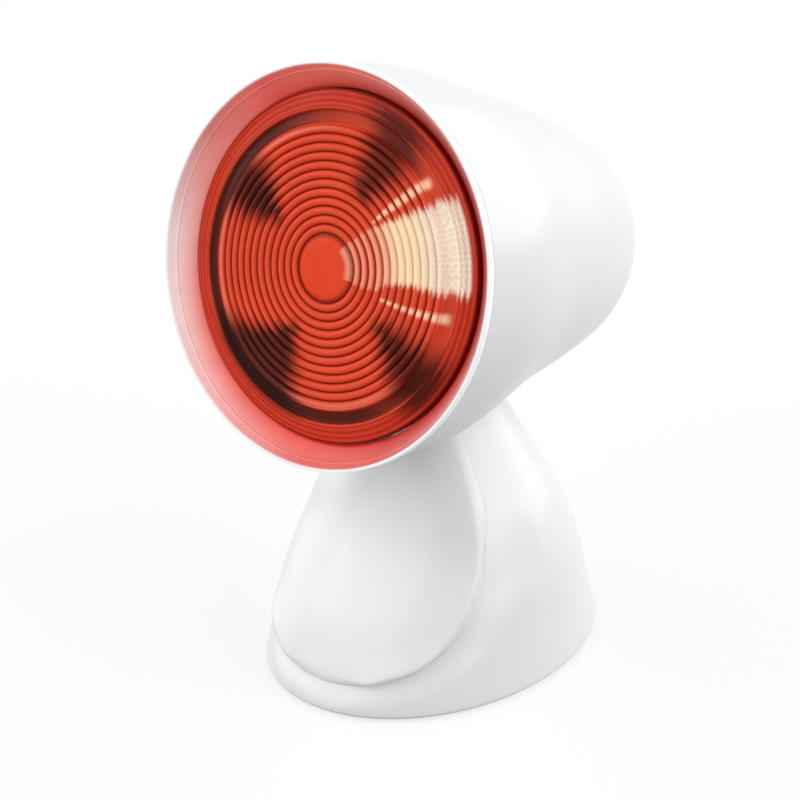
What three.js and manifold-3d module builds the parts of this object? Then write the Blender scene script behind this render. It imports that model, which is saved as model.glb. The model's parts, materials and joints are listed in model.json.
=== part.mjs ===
// Table-top infrared heat lamp. A bell-shaped head holds a pressed-glass reflector bulb and tilts
// in five steps on a knuckle, which stands in the neck of a bell-shaped base with a drop-shaped
// front panel. Millimetres, +Z up, the lamp faces -Y and stands on z = 0.
import * as THREE from 'three';
import { mergeVertices } from 'three/addons/utils/BufferGeometryUtils.js';
import Module from 'manifold-3d';

const wasm = await Module();
wasm.setup();

// Fits, walls and overruns
const seatGap = 0.3;
const runGap = 0.3;
const cutOver = 3;
const weldDistance = 0.0005;
const shellWall = 2.5;

// The bulb, which sets the size of the head: a 121 mm pressed-glass reflector lamp
const lensRadius = 60.5;
const reflectorLength = 91.5;

// Tilt
const pivotHeight = 111;
const pivotBack = 8;
const middleBack = 6.41;
const restTilt = THREE.MathUtils.degToRad(12);
const detentStep = THREE.MathUtils.degToRad(12);
const detentCount = 5;

// Head, measured from the pivot: the lamp axis runs above it and the rim lies ahead of it
const pivotLead = 4.1;
const knuckleRound = 10;
const bulbClearance = 3.675;
const shadeFlare = 9;
const tailLength = 76;
const bulbNeckShare = 0.45;
const rimAhead = reflectorLength - pivotLead;
const axisAbove = knuckleRound + bulbClearance + bulbNeckShare * lensRadius;
const rimRadius = lensRadius + shadeFlare;
const headLength = reflectorLength + tailLength;
const headRise = 5.1;
// Rows from rim to rear: station, radius above the axis and radius below it, with a guide row at each end
const headShares = [
  [-0.2, 1, 1.02],
  [0, 1, 1],
  [0.2, 0.99, 0.95],
  [0.4, 0.899, 0.785],
  [0.6, 0.803, 0.69],
  [0.8, 0.656, 0.605],
  [0.93, 0.452, 0.44],
  [1, 0, 0],
  [0.93, -0.452, -0.44],
];
const slotHalfWidth = 26.5;
const slotAhead = 44;
const slotBack = 56;
const slotCorner = 14;
const slotTop = 19;
const ventCount = 5;
const ventWidth = 34;
const ventHeight = 3;
const ventPitch = 6.2;
const ventAhead = 22;

// Inner shade with the rim lip
const lipProud = 0.1;
const lipThickness = 1.7;
const lipDepth = 2.8;
const lipRound = 0.6;
const funnelDepth = 9;
const skirtLength = 4;
const shadeWall = 1.4;
const shadeClearance = 0.8;
const spigotLength = 5;

// Rest of the bulb, with a 26 mm screw cap
const lensBehindRim = 7.4;
const domeHeight = 3.6;
const domePower = 6;
const lensWall = 3.2;
const discRadius = 10.5;
const ribCount = 14;
const ribReach = 49;
const grooveDepth = 0.9;
const flangeWidth = 6.5;
const flangeRound = 1;
const channelDepth = 1.4;
const sealDepth = 12;
const glassWall = 2;
const reflectorShares = [
  [0, 0.997],
  [0.09, 0.953],
  [0.23, 0.86],
  [0.41, 0.747],
  [0.6, 0.628],
  [0.77, 0.49],
  [0.9, 0.364],
  [1, 0.284],
];
const reflectorRows = 10;
const neckOverlap = 4;
const ferruleWall = 1.2;
const ferruleLength = 11;
const capRadius = 13;
const capWall = 0.9;
const capThreads = 5;
const threadDepth = 0.9;
const capLength = 16;
const insulatorLength = 4.2;
const contactRadius = 4.8;
const contactThickness = 2;
const filamentRadius = 1.2;
const filamentHalf = 9;
const filamentStation = 74;
const filamentBow = 2.4;
const stemRadius = 5;
const stemFlare = 1.5;
const wirePlaceShare = 0.8;
const wireRadius = 0.7;

// Heat shield behind the inner shade
const shieldWall = 0.8;
const shieldEnd = 42;
const shieldClearance = 4;

// Lampholder
const holderRadius = 21;
const holderMouth = 18.6;
const holderLength = 38.4;
const holderFloor = 12.5;
const linerWall = 1.1;
const linerClearance = 0.5;
const linerLength = 18.5;
const springRadius = 4;
const springHeight = 2.1;

// Yoke
const yokeSheet = 2;
const yokeInside = 17.4;
const yokeBoss = 7;
const shankLow = 26;
const shankHigh = 29;
const shankStart = 4;
const plateTop = 50;
const earReach = 26.8;
const earLow = 39;
const earHigh = 53;
const earScrewPlace = 24.4;
const holderScrewPlace = 12;
const screwRadius = 1.6;
const screwHead = 3.2;
const screwHeadHeight = 2;
const screwLength = 9;
const shellBossRadius = 3.6;

// Axle, washers, nut and detent
const axleRadius = 4;
const axleBore = 2.8;
const axleHead = 6.2;
const axleHeadHeight = 2;
const washerRadius = 6.5;
const washerThickness = 0.8;
const nutAcross = 11;
const nutHeight = 3.4;
const detentReach = 9.5;
const detentEdge = 12.6;
const detentAngle = THREE.MathUtils.degToRad(60);
const ballRadius = 1.6;
const detentHole = 1.7;
const detentBore = 1.9;
const detentBoreDepth = 9;
const detentCoils = 4;
const detentWire = 0.3;

// Knuckle
const knuckleHalf = 16;
const cheekInside = 10;
const knuckleAhead = 21;
const knuckleBack = 22;
const knuckleFlange = 2;
const plugHalf = 13.5;
const leadChannel = 4;

// Base hood: rows of half width and half depth, even from the floor to above the pivot, with a guide
// row at each end
const hingeRise = 7.7;
const bellAbove = 9;
const plugDepth = 21.3;
const hoodHeight = pivotHeight - hingeRise;
const hoodBottom = 1.2;
const baseHalfWidth = 58.8;
const baseHalfDepth = 76.9;
const hoodShares = [
  [1.05, 1.08],
  [1, 1],
  [0.937, 0.915],
  [0.874, 0.832],
  [0.757, 0.703],
  [0.577, 0.521],
  [0.406, 0.356],
  [0.29, 0.25],
  [0.2, 0.17],
];
const hoodRowStep = (pivotHeight + bellAbove) / (hoodShares.length - 3);
const shelfHeight = hoodHeight - plugDepth;
const shelfThickness = 3;
const hoodPointsBehind = 20;
const hoodPointsAhead = 10;

// Front panel: rows of height, half width, depth of the edge and depth of the middle line
const panelTop = hoodHeight - seatGap;
const panelWall = 2.5;
const panelHalfWidth = 42.4;
const panelCurve = 2.2;
const panelShares = [
  [0.1, 0.02, -0.93, -0.932],
  [0.1065, 0.2, -0.918, -0.926],
  [0.121, 0.4, -0.9, -0.92],
  [0.1417, 0.571, -0.871, -0.91],
  [0.195, 0.828, -0.762, -0.874],
  [0.291, 0.965, -0.597, -0.801],
  [0.4165, 1, -0.46, -0.671],
  [0.532, 0.962, -0.371, -0.56],
  [0.653, 0.882, -0.32, -0.477],
  [0.796, 0.698, -0.246, -0.416],
  [0.9476, 0.5, -0.202, -0.371],
  [1, 0.46, -0.186, -0.35],
  [1.06, 0.4, -0.165, -0.33],
];
const pegRadius = 2;
const pegLength = 6;
const pegShares = [0.35, 0.82];

// Underside
const plateBottom = 2;
const plateThickness = 3;
const footRadius = 6.5;
const footHeight = 1.7;
const footStem = 2.2;
const footPlaceX = 29;
const footPlaceY = 46;
const bossRadius = 4.2;
const bossPlaceX = 40;
const bossPlaceY = 27;
const bossRiseShare = 2.1;
const baseScrewLength = 14;
const ballastHalfWidth = 33;
const ballastAhead = 46;
const ballastBack = 18;
const ballastThickness = 4;

// Switch, low on the back of the hood
const switchHeight = 31;
const switchWidth = 23;
const switchDepth = 17;
const bezelThickness = 1.9;
const bezelWall = 2;
const switchBody = 13;
const rockerRound = 3;
const rockerTilt = THREE.MathUtils.degToRad(7);
const rockerProud = 2.2;
const rockerPivotDepth = 5;
const bladeWidth = 4.8;
const bladeThickness = 0.8;
const bladeLength = 6;

// Cord inlet and terminal block
const glandHeight = 11;
const glandFlange = 6.4;
const glandFlangeDepth = 2;
const glandRadius = 5;
const glandBore = 3.6;
const glandLength = 11;
const blockWidth = 26;
const blockDepth = 12;
const blockHeight = 10;
const blockInset = 34.9;
const blockBack = baseHalfDepth - blockInset;
const blockBore = 1.6;
const leadRadius = 1;

// Facets
const roundSteps = 28;
const headSteps = 32;
const smallSteps = 12;
const tinySteps = 8;
const leadSides = 3;

const whitePlastic = { color: 0xf4f5f6, roughness: 0.28, metalness: 0 };
const innerWhite = { color: 0xf1ecea, roughness: 0.35, metalness: 0 };
const redGlass = { color: 0xc82c18, roughness: 0.12, metalness: 0 };
const mirrorGlass = { color: 0xc9ccd0, roughness: 0.15, metalness: 0.9 };
const steel = { color: 0x9a9da1, roughness: 0.4, metalness: 0.9 };
const aluminium = { color: 0xc4c7ca, roughness: 0.35, metalness: 0.9 };
const brass = { color: 0xb99a4e, roughness: 0.35, metalness: 0.9 };
const ceramic = { color: 0xeeeae0, roughness: 0.5, metalness: 0 };
const rubber = { color: 0x3a3b3d, roughness: 0.85, metalness: 0 };
const blackPlastic = { color: 0x222326, roughness: 0.45, metalness: 0 };
const greyPlastic = { color: 0x9b9ea2, roughness: 0.5, metalness: 0 };
const leadBrown = { color: 0x6b4226, roughness: 0.6, metalness: 0 };
const leadBlue = { color: 0x2d5fa8, roughness: 0.6, metalness: 0 };

const lamp = new THREE.Group();
const base = new THREE.Group();
const head = new THREE.Group();
head.position.set(0, pivotBack, pivotHeight);
head.rotation.x = -restTilt;
lamp.add(base, head);

// Welds a geometry into one closed surface whose faces point out
function welded(geometry) {
  const bare = new THREE.BufferGeometry();
  bare.setAttribute('position', geometry.getAttribute('position'));
  if (geometry.index) bare.setIndex(geometry.index);
  const merged = mergeVertices(bare, weldDistance);
  const corners = merged.index.array;
  const points = merged.getAttribute('position');
  const kept = [];
  const [a, b, c] = [new THREE.Vector3(), new THREE.Vector3(), new THREE.Vector3()];
  let volume = 0;
  for (let corner = 0; corner < corners.length; corner += 3) {
    const [i, j, k] = corners.slice(corner, corner + 3);
    if (i !== j && j !== k && k !== i) {
      kept.push(i, j, k);
      a.fromBufferAttribute(points, i);
      b.fromBufferAttribute(points, j);
      c.fromBufferAttribute(points, k);
      volume += a.dot(b.cross(c));
    }
  }
  if (volume < 0) kept.reverse();
  merged.setIndex(kept);
  return merged;
}

// Turns a geometry into a solid that can be cut and joined
function solid(geometry) {
  const closed = welded(geometry);
  return new wasm.Manifold(new wasm.Mesh({
    numProp: 3,
    vertProperties: new Float32Array(closed.getAttribute('position').array),
    triVerts: new Uint32Array(closed.index.array),
  }));
}

function solidOf(shape) {
  return shape.isBufferGeometry ? solid(shape) : shape;
}

function join(...shapes) {
  return shapes.map(solidOf).reduce((all, one) => all.add(one));
}

function cut(body, ...tools) {
  return tools.reduce((left, tool) => left.subtract(solidOf(tool)), solidOf(body));
}

function shared(body, other) {
  return solidOf(body).intersect(solidOf(other));
}

function geometryOf(shape) {
  if (shape.isBufferGeometry) return welded(shape);
  const mesh = shape.getMesh();
  const geometry = new THREE.BufferGeometry();
  geometry.setAttribute('position', new THREE.BufferAttribute(mesh.vertProperties, 3));
  geometry.setIndex(new THREE.BufferAttribute(mesh.triVerts, 1));
  return geometry;
}

// Adds one named piece to a group
function piece(group, name, shape, finish) {
  const geometry = geometryOf(shape);
  geometry.computeVertexNormals();
  const mesh = new THREE.Mesh(geometry, new THREE.MeshStandardMaterial(finish));
  mesh.name = name;
  group.add(mesh);
  return mesh;
}

// Reads a smooth curve through rows of shares; the first and last rows only guide its slope
function along(rows, place) {
  const spans = rows.length - 3;
  const reach = place * spans;
  const index = Math.min(Math.max(Math.floor(reach), 0), spans - 1);
  const part = reach - index;
  return rows[index + 1].map((from, column) => {
    const to = rows[index + 2][column];
    const slopeIn = (to - rows[index][column]) / 2;
    const slopeOut = (rows[index + 3][column] - from) / 2;
    const cubic = 2 * (from - to) + slopeIn + slopeOut;
    const square = 3 * (to - from) - 2 * slopeIn - slopeOut;
    return ((cubic * part + square) * part + slopeIn) * part + from;
  });
}

// Finds the place along rows where their first column has a value
function placeOf(rows, value) {
  let low = 0;
  let high = 1;
  for (let pass = 0; pass < 40; pass += 1) {
    const middle = (low + high) / 2;
    if (along(rows, middle)[0] < value) low = middle;
    else high = middle;
  }
  return low;
}

// Skins rings of points into one closed surface; a ring of one point is a pole
function skin(rings) {
  const closedRings = [[centreOf(rings[0])], ...rings, [centreOf(rings[rings.length - 1])]];
  const count = rings.reduce((most, ring) => Math.max(most, ring.length), 1);
  const positions = [];
  const starts = closedRings.map((ring) => {
    const start = positions.length / 3;
    ring.forEach((point) => positions.push(point.x, point.y, point.z));
    return start;
  });
  const at = (ring, step) => starts[ring] + (closedRings[ring].length === 1 ? 0 : step % count);
  const faces = [];
  for (let ring = 0; ring < closedRings.length - 1; ring += 1) {
    for (let step = 0; step < count; step += 1) {
      faces.push(at(ring, step), at(ring, step + 1), at(ring + 1, step));
      faces.push(at(ring, step + 1), at(ring + 1, step + 1), at(ring + 1, step));
    }
  }
  const geometry = new THREE.BufferGeometry();
  geometry.setAttribute('position', new THREE.Float32BufferAttribute(positions, 3));
  geometry.setIndex(faces);
  return geometry;
}

function centreOf(ring) {
  return ring.reduce((sum, point) => sum.add(point), new THREE.Vector3()).divideScalar(ring.length);
}

// Turns an outline of [radius, station] points round the Y axis
function turned(outline, steps = roundSteps) {
  const points = outline.map(([radius, station]) => new THREE.Vector2(radius, station));
  return new THREE.LatheGeometry(points, steps);
}

// Turns a closed outline, given without its repeated first point
function ringTurned(outline, steps = roundSteps) {
  return turned([...outline, outline[0]], steps);
}

// Puts a turned piece on the lamp axis, with stations counted back from the rim
function onAxis(geometry) {
  return geometry.translate(0, -rimAhead, axisAbove);
}

// A round bar between two stations of the Y axis
function bar(radius, from, to, steps = smallSteps) {
  return turned([[0, from], [radius, from], [radius, to], [0, to]], steps);
}

// Turns a bar by half a facet, so that its corners miss those of what it cuts
function halfTurned(geometry, steps = tinySteps) {
  return geometry.rotateY(Math.PI / steps);
}

function barAlongX(radius, from, to, steps = smallSteps) {
  return bar(radius, from, to, steps).rotateZ(-Math.PI / 2);
}

function barAlongZ(radius, from, to, steps = smallSteps) {
  return bar(radius, from, to, steps).rotateX(Math.PI / 2);
}

function tubeAlongX(radius, bore, from, to, steps = smallSteps) {
  return ringTurned([[bore, from], [radius, from], [radius, to], [bore, to]], steps).rotateZ(-Math.PI / 2);
}

// A block between two corners
function block(low, high) {
  const size = high.map((value, axis) => value - low[axis]);
  const middle = high.map((value, axis) => (value + low[axis]) / 2);
  return new THREE.BoxGeometry(...size).translate(...middle);
}

// A sheet cut to an outline in the YZ plane, between two places along X
function sheetAcrossX(outline, from, to) {
  const shape = new THREE.Shape(outline.map(([back, up]) => new THREE.Vector2(back, up)));
  const geometry = new THREE.ExtrudeGeometry(shape, { depth: to - from, bevelEnabled: false });
  return geometry.rotateX(Math.PI / 2).rotateZ(Math.PI / 2).translate(from, 0, 0);
}

function roundedRectangle(halfWidth, halfHeight, corner) {
  const shape = new THREE.Shape();
  shape.absarc(halfWidth - corner, halfHeight - corner, corner, 0, Math.PI / 2);
  shape.absarc(corner - halfWidth, halfHeight - corner, corner, Math.PI / 2, Math.PI);
  shape.absarc(corner - halfWidth, corner - halfHeight, corner, Math.PI, 1.5 * Math.PI);
  shape.absarc(halfWidth - corner, corner - halfHeight, corner, 1.5 * Math.PI, 2 * Math.PI);
  return shape;
}

// A rounded bar through Z, centred on the origin
function roundedBlock(halfWidth, halfHeight, corner, from, to, curveSegments = 2) {
  const shape = roundedRectangle(halfWidth, halfHeight, corner);
  const settings = { depth: to - from, bevelEnabled: false, curveSegments };
  return new THREE.ExtrudeGeometry(shape, settings).translate(0, 0, from);
}

// A round lead along a hand-chosen route
function lead(points) {
  const route = new THREE.CatmullRomCurve3(points.map((point) => new THREE.Vector3(...point)));
  const section = new THREE.Shape();
  section.absarc(0, 0, leadRadius, 0, 2 * Math.PI);
  const settings = { steps: 3 * points.length, extrudePath: route, curveSegments: leadSides };
  return new THREE.ExtrudeGeometry(section, settings);
}

// Head

// One section of the head, fuller above the lamp axis than below it
function headRing(place, inset) {
  const [station, radiusShare, underShare] = along(headShares, place);
  const depth = Math.max(station * (headLength - inset), lipDepth + seatGap);
  const rise = headRise * station * station;
  if (place >= 1) return [new THREE.Vector3(0, depth - rimAhead, axisAbove + rise)];
  const radius = rimRadius * radiusShare - inset;
  const under = rimRadius * underShare - inset;
  return Array.from({ length: headSteps }, (_, step) => {
    const angle = (2 * Math.PI * step) / headSteps;
    const up = Math.sin(angle) * (Math.sin(angle) > 0 ? radius : under);
    return new THREE.Vector3(radius * Math.cos(angle), depth - rimAhead, axisAbove + rise + up);
  });
}

function headPlaces(steps) {
  return Array.from({ length: steps + 1 }, (_, step) => step / steps);
}

function headHull(inset, steps) {
  return skin(headPlaces(steps).map((place) => headRing(place, inset)));
}

// The shell, thickened inside by two bosses for the yoke and cut for the neck and the vents
function headShell() {
  const outer = headHull(0, 15);
  const rings = headPlaces(8).map((place) => headRing(place, shellWall));
  const mouth = rings[0].map((point) => point.clone().setY(point.y - cutOver));
  const hollow = skin([mouth, ...rings]);
  const plateBack = yokePlateStation() + yokeSheet - rimAhead;
  const bosses = [-earScrewPlace, earScrewPlace].map((place) => {
    const boss = halfTurned(bar(shellBossRadius, plateBack + seatGap, headLength - rimAhead, tinySteps));
    return shared(boss.translate(place, 0, (earLow + earHigh) / 2), outer);
  });
  const bores = [-earScrewPlace, earScrewPlace].map((place) => {
    const boreEnd = plateBack + screwLength - yokeSheet;
    const bore = halfTurned(bar(screwRadius + seatGap, plateBack - cutOver, boreEnd, tinySteps));
    return bore.translate(place, 0, (earLow + earHigh) / 2);
  });
  return cut(join(cut(outer, hollow), ...bosses), neckSlot(), ...vents(), ...bores);
}

// The way in for the neck, long enough for the whole tilt
function neckSlot() {
  const half = (slotAhead + slotBack) / 2;
  const tool = roundedBlock(slotHalfWidth, half, slotCorner, -rimRadius, slotTop);
  return tool.translate(0, slotBack - half, 0);
}

// Louvres through the rear dome
function vents() {
  const middle = axisAbove + headRise;
  return Array.from({ length: ventCount }, (_, index) => {
    const height = middle + (index - (ventCount - 1) / 2) * ventPitch;
    const tool = roundedBlock(ventWidth / 2, ventHeight / 2, ventHeight / 2, -ventAhead, cutOver, 1);
    return tool.rotateX(Math.PI / 2).translate(0, headLength - rimAhead - ventAhead, height);
  });
}

// The white lip, the funnel round the lens and the spigot that holds them in the shell
function innerShade() {
  const lip = rimRadius + lipProud;
  const lipInside = lip - lipThickness;
  const funnel = lensRadius + shadeClearance;
  const spigot = rimRadius - shellWall - 2 * seatGap;
  const funnelEnd = funnelDepth + skirtLength;
  return onAxis(ringTurned([
    [lip, lipDepth],
    [lip, lipRound],
    [lip - lipRound, 0],
    [lipInside + lipRound, 0],
    [lipInside, lipRound],
    [funnel, funnelDepth],
    [funnel, funnelEnd],
    [funnel + shadeWall, funnelEnd],
    [funnel + shadeWall, funnelDepth + seatGap],
    [spigot - shadeWall, lipDepth + shadeWall * 2],
    [spigot - shadeWall, lipDepth + spigotLength],
    [spigot, lipDepth + spigotLength],
    [spigot, lipDepth],
  ]));
}

// Height of the lens face at a radius, as a station behind the rim
function lensFace(radius) {
  return lensBehindRim - domeHeight * (1 - (radius / lensRadius) ** domePower);
}

// The lens, with a plain centre disc, concentric ribs, a channel and a flange
function bulbLens() {
  const pitch = (ribReach - discRadius) / ribCount;
  const outline = [[0, lensFace(0)], [discRadius - grooveDepth / 2, lensFace(discRadius)]];
  for (let rib = 0; rib < ribCount; rib += 1) {
    const groove = discRadius + rib * pitch;
    outline.push([groove, lensFace(groove) + grooveDepth]);
    outline.push([groove + pitch / 2, lensFace(groove + pitch / 2)]);
  }
  const flangeInside = lensRadius - flangeWidth;
  outline.push(
    [ribReach, lensFace(ribReach) + channelDepth],
    [flangeInside - flangeRound / 2, lensFace(flangeInside) + channelDepth],
    [flangeInside, lensFace(flangeInside)],
    [lensRadius - flangeRound, lensFace(lensRadius - flangeRound)],
    [lensRadius, lensBehindRim + flangeRound],
    [lensRadius, sealDepth],
    [flangeInside, sealDepth],
    [ribReach, lensFace(ribReach) + lensWall],
    [ribReach / 2, lensFace(ribReach / 2) + lensWall],
    [0, lensFace(0) + lensWall],
  );
  return onAxis(turned(outline));
}

function reflectorPoints() {
  const start = sealDepth + seatGap;
  const points = reflectorShares.map(([station, radius]) => (
    new THREE.Vector2(radius * lensRadius, start + station * reflectorLength)));
  return new THREE.SplineCurve(points).getPoints(reflectorRows);
}

// The silvered glass body behind the lens
function bulbReflector() {
  const outer = reflectorPoints().map((point) => [point.x, point.y]);
  const inner = outer.map(([radius, station]) => [radius - glassWall, station]).reverse();
  return onAxis(ringTurned([...outer, ...inner]));
}

function neckEnd() {
  return sealDepth + seatGap + reflectorLength;
}

function capStart() {
  return neckEnd() - neckOverlap + ferruleLength;
}

// The metal ferrule that joins the glass neck to the screw cap
function bulbFerrule() {
  const start = neckEnd() - neckOverlap;
  const inside = reflectorRadiusAt(start) + seatGap;
  const neck = capRadius + ferruleWall;
  return onAxis(ringTurned([
    [inside, start],
    [inside + ferruleWall, start],
    [inside + ferruleWall, neckEnd() + seatGap],
    [neck, capStart()],
    [capRadius - threadDepth - capWall, capStart()],
    [capRadius - threadDepth - capWall, capStart() - ferruleWall],
    [neck - ferruleWall, capStart() - 2 * ferruleWall],
    [inside, neckEnd() + seatGap],
  ], roundSteps));
}

function reflectorRadiusAt(station) {
  const points = reflectorPoints();
  const index = points.findIndex((point) => point.y >= station);
  const [from, to] = [points[index - 1], points[index]];
  return THREE.MathUtils.mapLinear(station, from.y, to.y, from.x, to.x);
}

// The threaded cap
function screwCap() {
  const start = capStart() + seatGap;
  const inside = capRadius - threadDepth - capWall;
  const pitch = (capLength - 2 * capWall) / capThreads;
  const outline = [[inside, start], [capRadius - threadDepth, start]];
  for (let thread = 0; thread < capThreads; thread += 1) {
    outline.push([capRadius - threadDepth, start + capWall + thread * pitch]);
    outline.push([capRadius, start + capWall + (thread + 1 / 2) * pitch]);
  }
  outline.push([capRadius - threadDepth, start + capLength - capWall]);
  outline.push([inside, start + capLength]);
  return onAxis(ringTurned(outline, smallSteps));
}

function capInsulator() {
  const start = capStart() + capLength + 2 * seatGap;
  const inside = capRadius - threadDepth - capWall;
  return onAxis(turned([
    [0, start],
    [inside, start],
    [contactRadius + capWall, start + insulatorLength],
    [0, start + insulatorLength],
  ], smallSteps));
}

function contactStart() {
  return capStart() + capLength + insulatorLength + 3 * seatGap;
}

function capContact() {
  const start = contactStart();
  return onAxis(turned([
    [0, start],
    [contactRadius, start],
    [contactRadius * 0.8, start + contactThickness],
    [0, start + contactThickness],
  ], tinySteps));
}

// The coiled filament as a bar, bowed towards the lens
function filament() {
  const placeShares = [-1, -0.5, 0, 0.5, 1];
  const points = placeShares.map((share) => (
    new THREE.Vector3(share * filamentHalf, share * share * filamentBow, 0)));
  const section = new THREE.Shape();
  section.absarc(0, 0, filamentRadius, 0, 2 * Math.PI);
  const route = new THREE.CatmullRomCurve3(points);
  const coil = new THREE.ExtrudeGeometry(section, { steps: 6, extrudePath: route, curveSegments: 4 });
  return onAxis(coil.translate(0, filamentStation, 0));
}

// The glass stem, flared to the neck, with the two wires that carry the filament
function filamentStem() {
  const foot = neckEnd() - seatGap;
  const stemTop = foot - 2 * stemRadius;
  const top = filamentStation + filamentBow * wirePlaceShare ** 2 + filamentRadius + seatGap;
  const stem = bar(stemRadius, stemTop, capStart() - ferruleWall, tinySteps);
  const flareRadius = reflectorRadiusAt(foot) - glassWall - seatGap;
  const flare = bar(flareRadius, foot - stemFlare, foot, roundSteps);
  const wires = [-1, 1].map((side) => {
    const tip = [side * filamentHalf * wirePlaceShare, top, 0];
    const root = [(side * stemRadius) / 2, foot, 0];
    const route = new THREE.LineCurve3(new THREE.Vector3(...tip), new THREE.Vector3(...root));
    const section = new THREE.Shape();
    section.absarc(0, 0, wireRadius, 0, 2 * Math.PI);
    return new THREE.ExtrudeGeometry(section, { steps: 1, extrudePath: route, curveSegments: 4 });
  });
  return geometryOf(join(stem, flare, ...wires)).translate(0, -rimAhead, axisAbove);
}

// A thin aluminium cone that keeps the heat of the bulb off the shell
function heatShield() {
  const start = funnelDepth + skirtLength + seatGap;
  const front = lensRadius + shadeClearance + shadeWall;
  const end = reflectorRadiusAt(shieldEnd) + shieldClearance;
  return onAxis(ringTurned([
    [front - shieldWall, start],
    [front, start],
    [end + shieldWall, shieldEnd],
    [end, shieldEnd],
  ]));
}

// The ceramic lampholder with its bore for the cap
function lampholder() {
  const start = capStart() + 2 * seatGap;
  const rear = start + holderLength;
  const bore = capRadius + linerClearance + linerWall + seatGap;
  const body = turned([
    [0, start],
    [holderMouth, start],
    [holderMouth, start + holderLength / 3],
    [holderRadius, start + holderLength / 3],
    [holderRadius, rear],
    [0, rear],
  ]);
  const bores = [-holderScrewPlace, holderScrewPlace].map((place) => (
    bar(screwRadius + seatGap, rear - screwLength, rear + cutOver, tinySteps).translate(place, 0, 0)));
  return geometryOf(cut(body, bar(bore, start - cutOver, rear - holderFloor, roundSteps), ...bores))
    .translate(0, -rimAhead, axisAbove);
}

function holderRear() {
  return capStart() + 2 * seatGap + holderLength;
}

function holderLiner() {
  const end = holderRear() - holderFloor - seatGap;
  const bore = capRadius + linerClearance;
  return onAxis(ringTurned([
    [bore, end - linerLength],
    [bore + linerWall, end - linerLength],
    [bore + linerWall, end],
    [bore, end],
  ], roundSteps));
}

// The sprung centre contact on the floor of the holder
function holderSpring() {
  const start = contactStart() + contactThickness + seatGap;
  const end = holderRear() - holderFloor - seatGap;
  return onAxis(turned([
    [0, start],
    [springRadius / 2, start + springHeight / 4],
    [springRadius, end],
    [0, end],
  ], tinySteps));
}

// Yoke

function yokePlateStation() {
  return holderRear() + seatGap;
}

// One arm, from its boss and the detent sector at the pivot to the cross plate
function yokeArm(inside) {
  const plateFront = yokePlateStation() - rimAhead;
  const plateRear = plateFront + yokeSheet;
  const outside = inside + yokeSheet;
  const boss = barAlongX(yokeBoss, inside, outside, smallSteps);
  const shank = sheetAcrossX([
    [shankStart, 0],
    [plateRear, shankLow],
    [plateRear, shankHigh],
    [0, yokeBoss],
    [0, 0],
  ], inside, outside);
  return join(boss, shank, detentSector(inside, outside));
}

// World angle of the ball seen from the head at rest, and the sector that holds the five holes
function detentHoleAngles() {
  return Array.from({ length: detentCount }, (_, index) => detentAngle + restTilt + (index - 1) * detentStep);
}

function detentSector(inside, outside) {
  const angles = detentHoleAngles();
  const [from, to] = [angles[0] - detentStep, angles[detentCount - 1] + detentStep];
  const steps = 8;
  const arc = Array.from({ length: steps + 1 }, (_, step) => {
    const angle = from + ((to - from) * step) / steps;
    return [detentEdge * Math.cos(angle), detentEdge * Math.sin(angle)];
  });
  return sheetAcrossX([[0, 0], ...arc], inside, outside);
}

// The bent steel yoke that carries the holder and the shell on the axle
function yoke() {
  const front = yokePlateStation() - rimAhead;
  const outerSide = yokeInside + yokeSheet;
  const plate = block([-outerSide, front, shankLow], [outerSide, front + yokeSheet, plateTop]);
  const ears = block([-earReach, front, earLow], [earReach, front + yokeSheet, earHigh]);
  const body = join(plate, ears, yokeArm(yokeInside), yokeArm(-outerSide));
  const axleHole = barAlongX(axleRadius + runGap, -outerSide - cutOver, outerSide + cutOver, smallSteps);
  const holes = detentHoleAngles().map((angle) => (
    barAlongX(detentHole, yokeInside - cutOver / 3, outerSide + cutOver, tinySteps)
      .translate(0, detentReach * Math.cos(angle), detentReach * Math.sin(angle))));
  const screwHole = () => bar(screwRadius + seatGap, front - cutOver, front + yokeSheet + cutOver, tinySteps);
  const screwHoles = [-holderScrewPlace, holderScrewPlace].map((place) => (
    screwHole().translate(place, 0, axisAbove)));
  const earHoles = [-earScrewPlace, earScrewPlace].map((place) => (
    screwHole().translate(place, 0, (earLow + earHigh) / 2)));
  return cut(body, axleHole, ...holes, ...screwHoles, ...earHoles);
}

// A pan-head screw along Y: the head starts at the origin and the shank runs to +Y
function screw(length = screwLength) {
  return turned([
    [0, -screwHeadHeight],
    [screwHead * 0.7, -screwHeadHeight],
    [screwHead, -screwHeadHeight * 0.4],
    [screwHead, 0],
    [screwRadius, 0],
    [screwRadius, length],
    [0, length],
  ], tinySteps);
}

function yokeScrews() {
  const front = yokePlateStation() - rimAhead;
  const rear = front + yokeSheet;
  [-1, 1].forEach((side) => {
    const name = side < 0 ? 'left' : 'right';
    const holderScrew = screw(screwLength + yokeSheet - 2 * seatGap).rotateX(Math.PI)
      .translate(side * holderScrewPlace, rear + seatGap, axisAbove);
    piece(head, `holder_screw_${name}`, holderScrew, steel);
    const shellScrew = screw(screwLength - 2 * seatGap)
      .translate(side * earScrewPlace, front - seatGap, (earLow + earHigh) / 2);
    piece(head, `shell_screw_${name}`, shellScrew, steel);
  });
}

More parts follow.
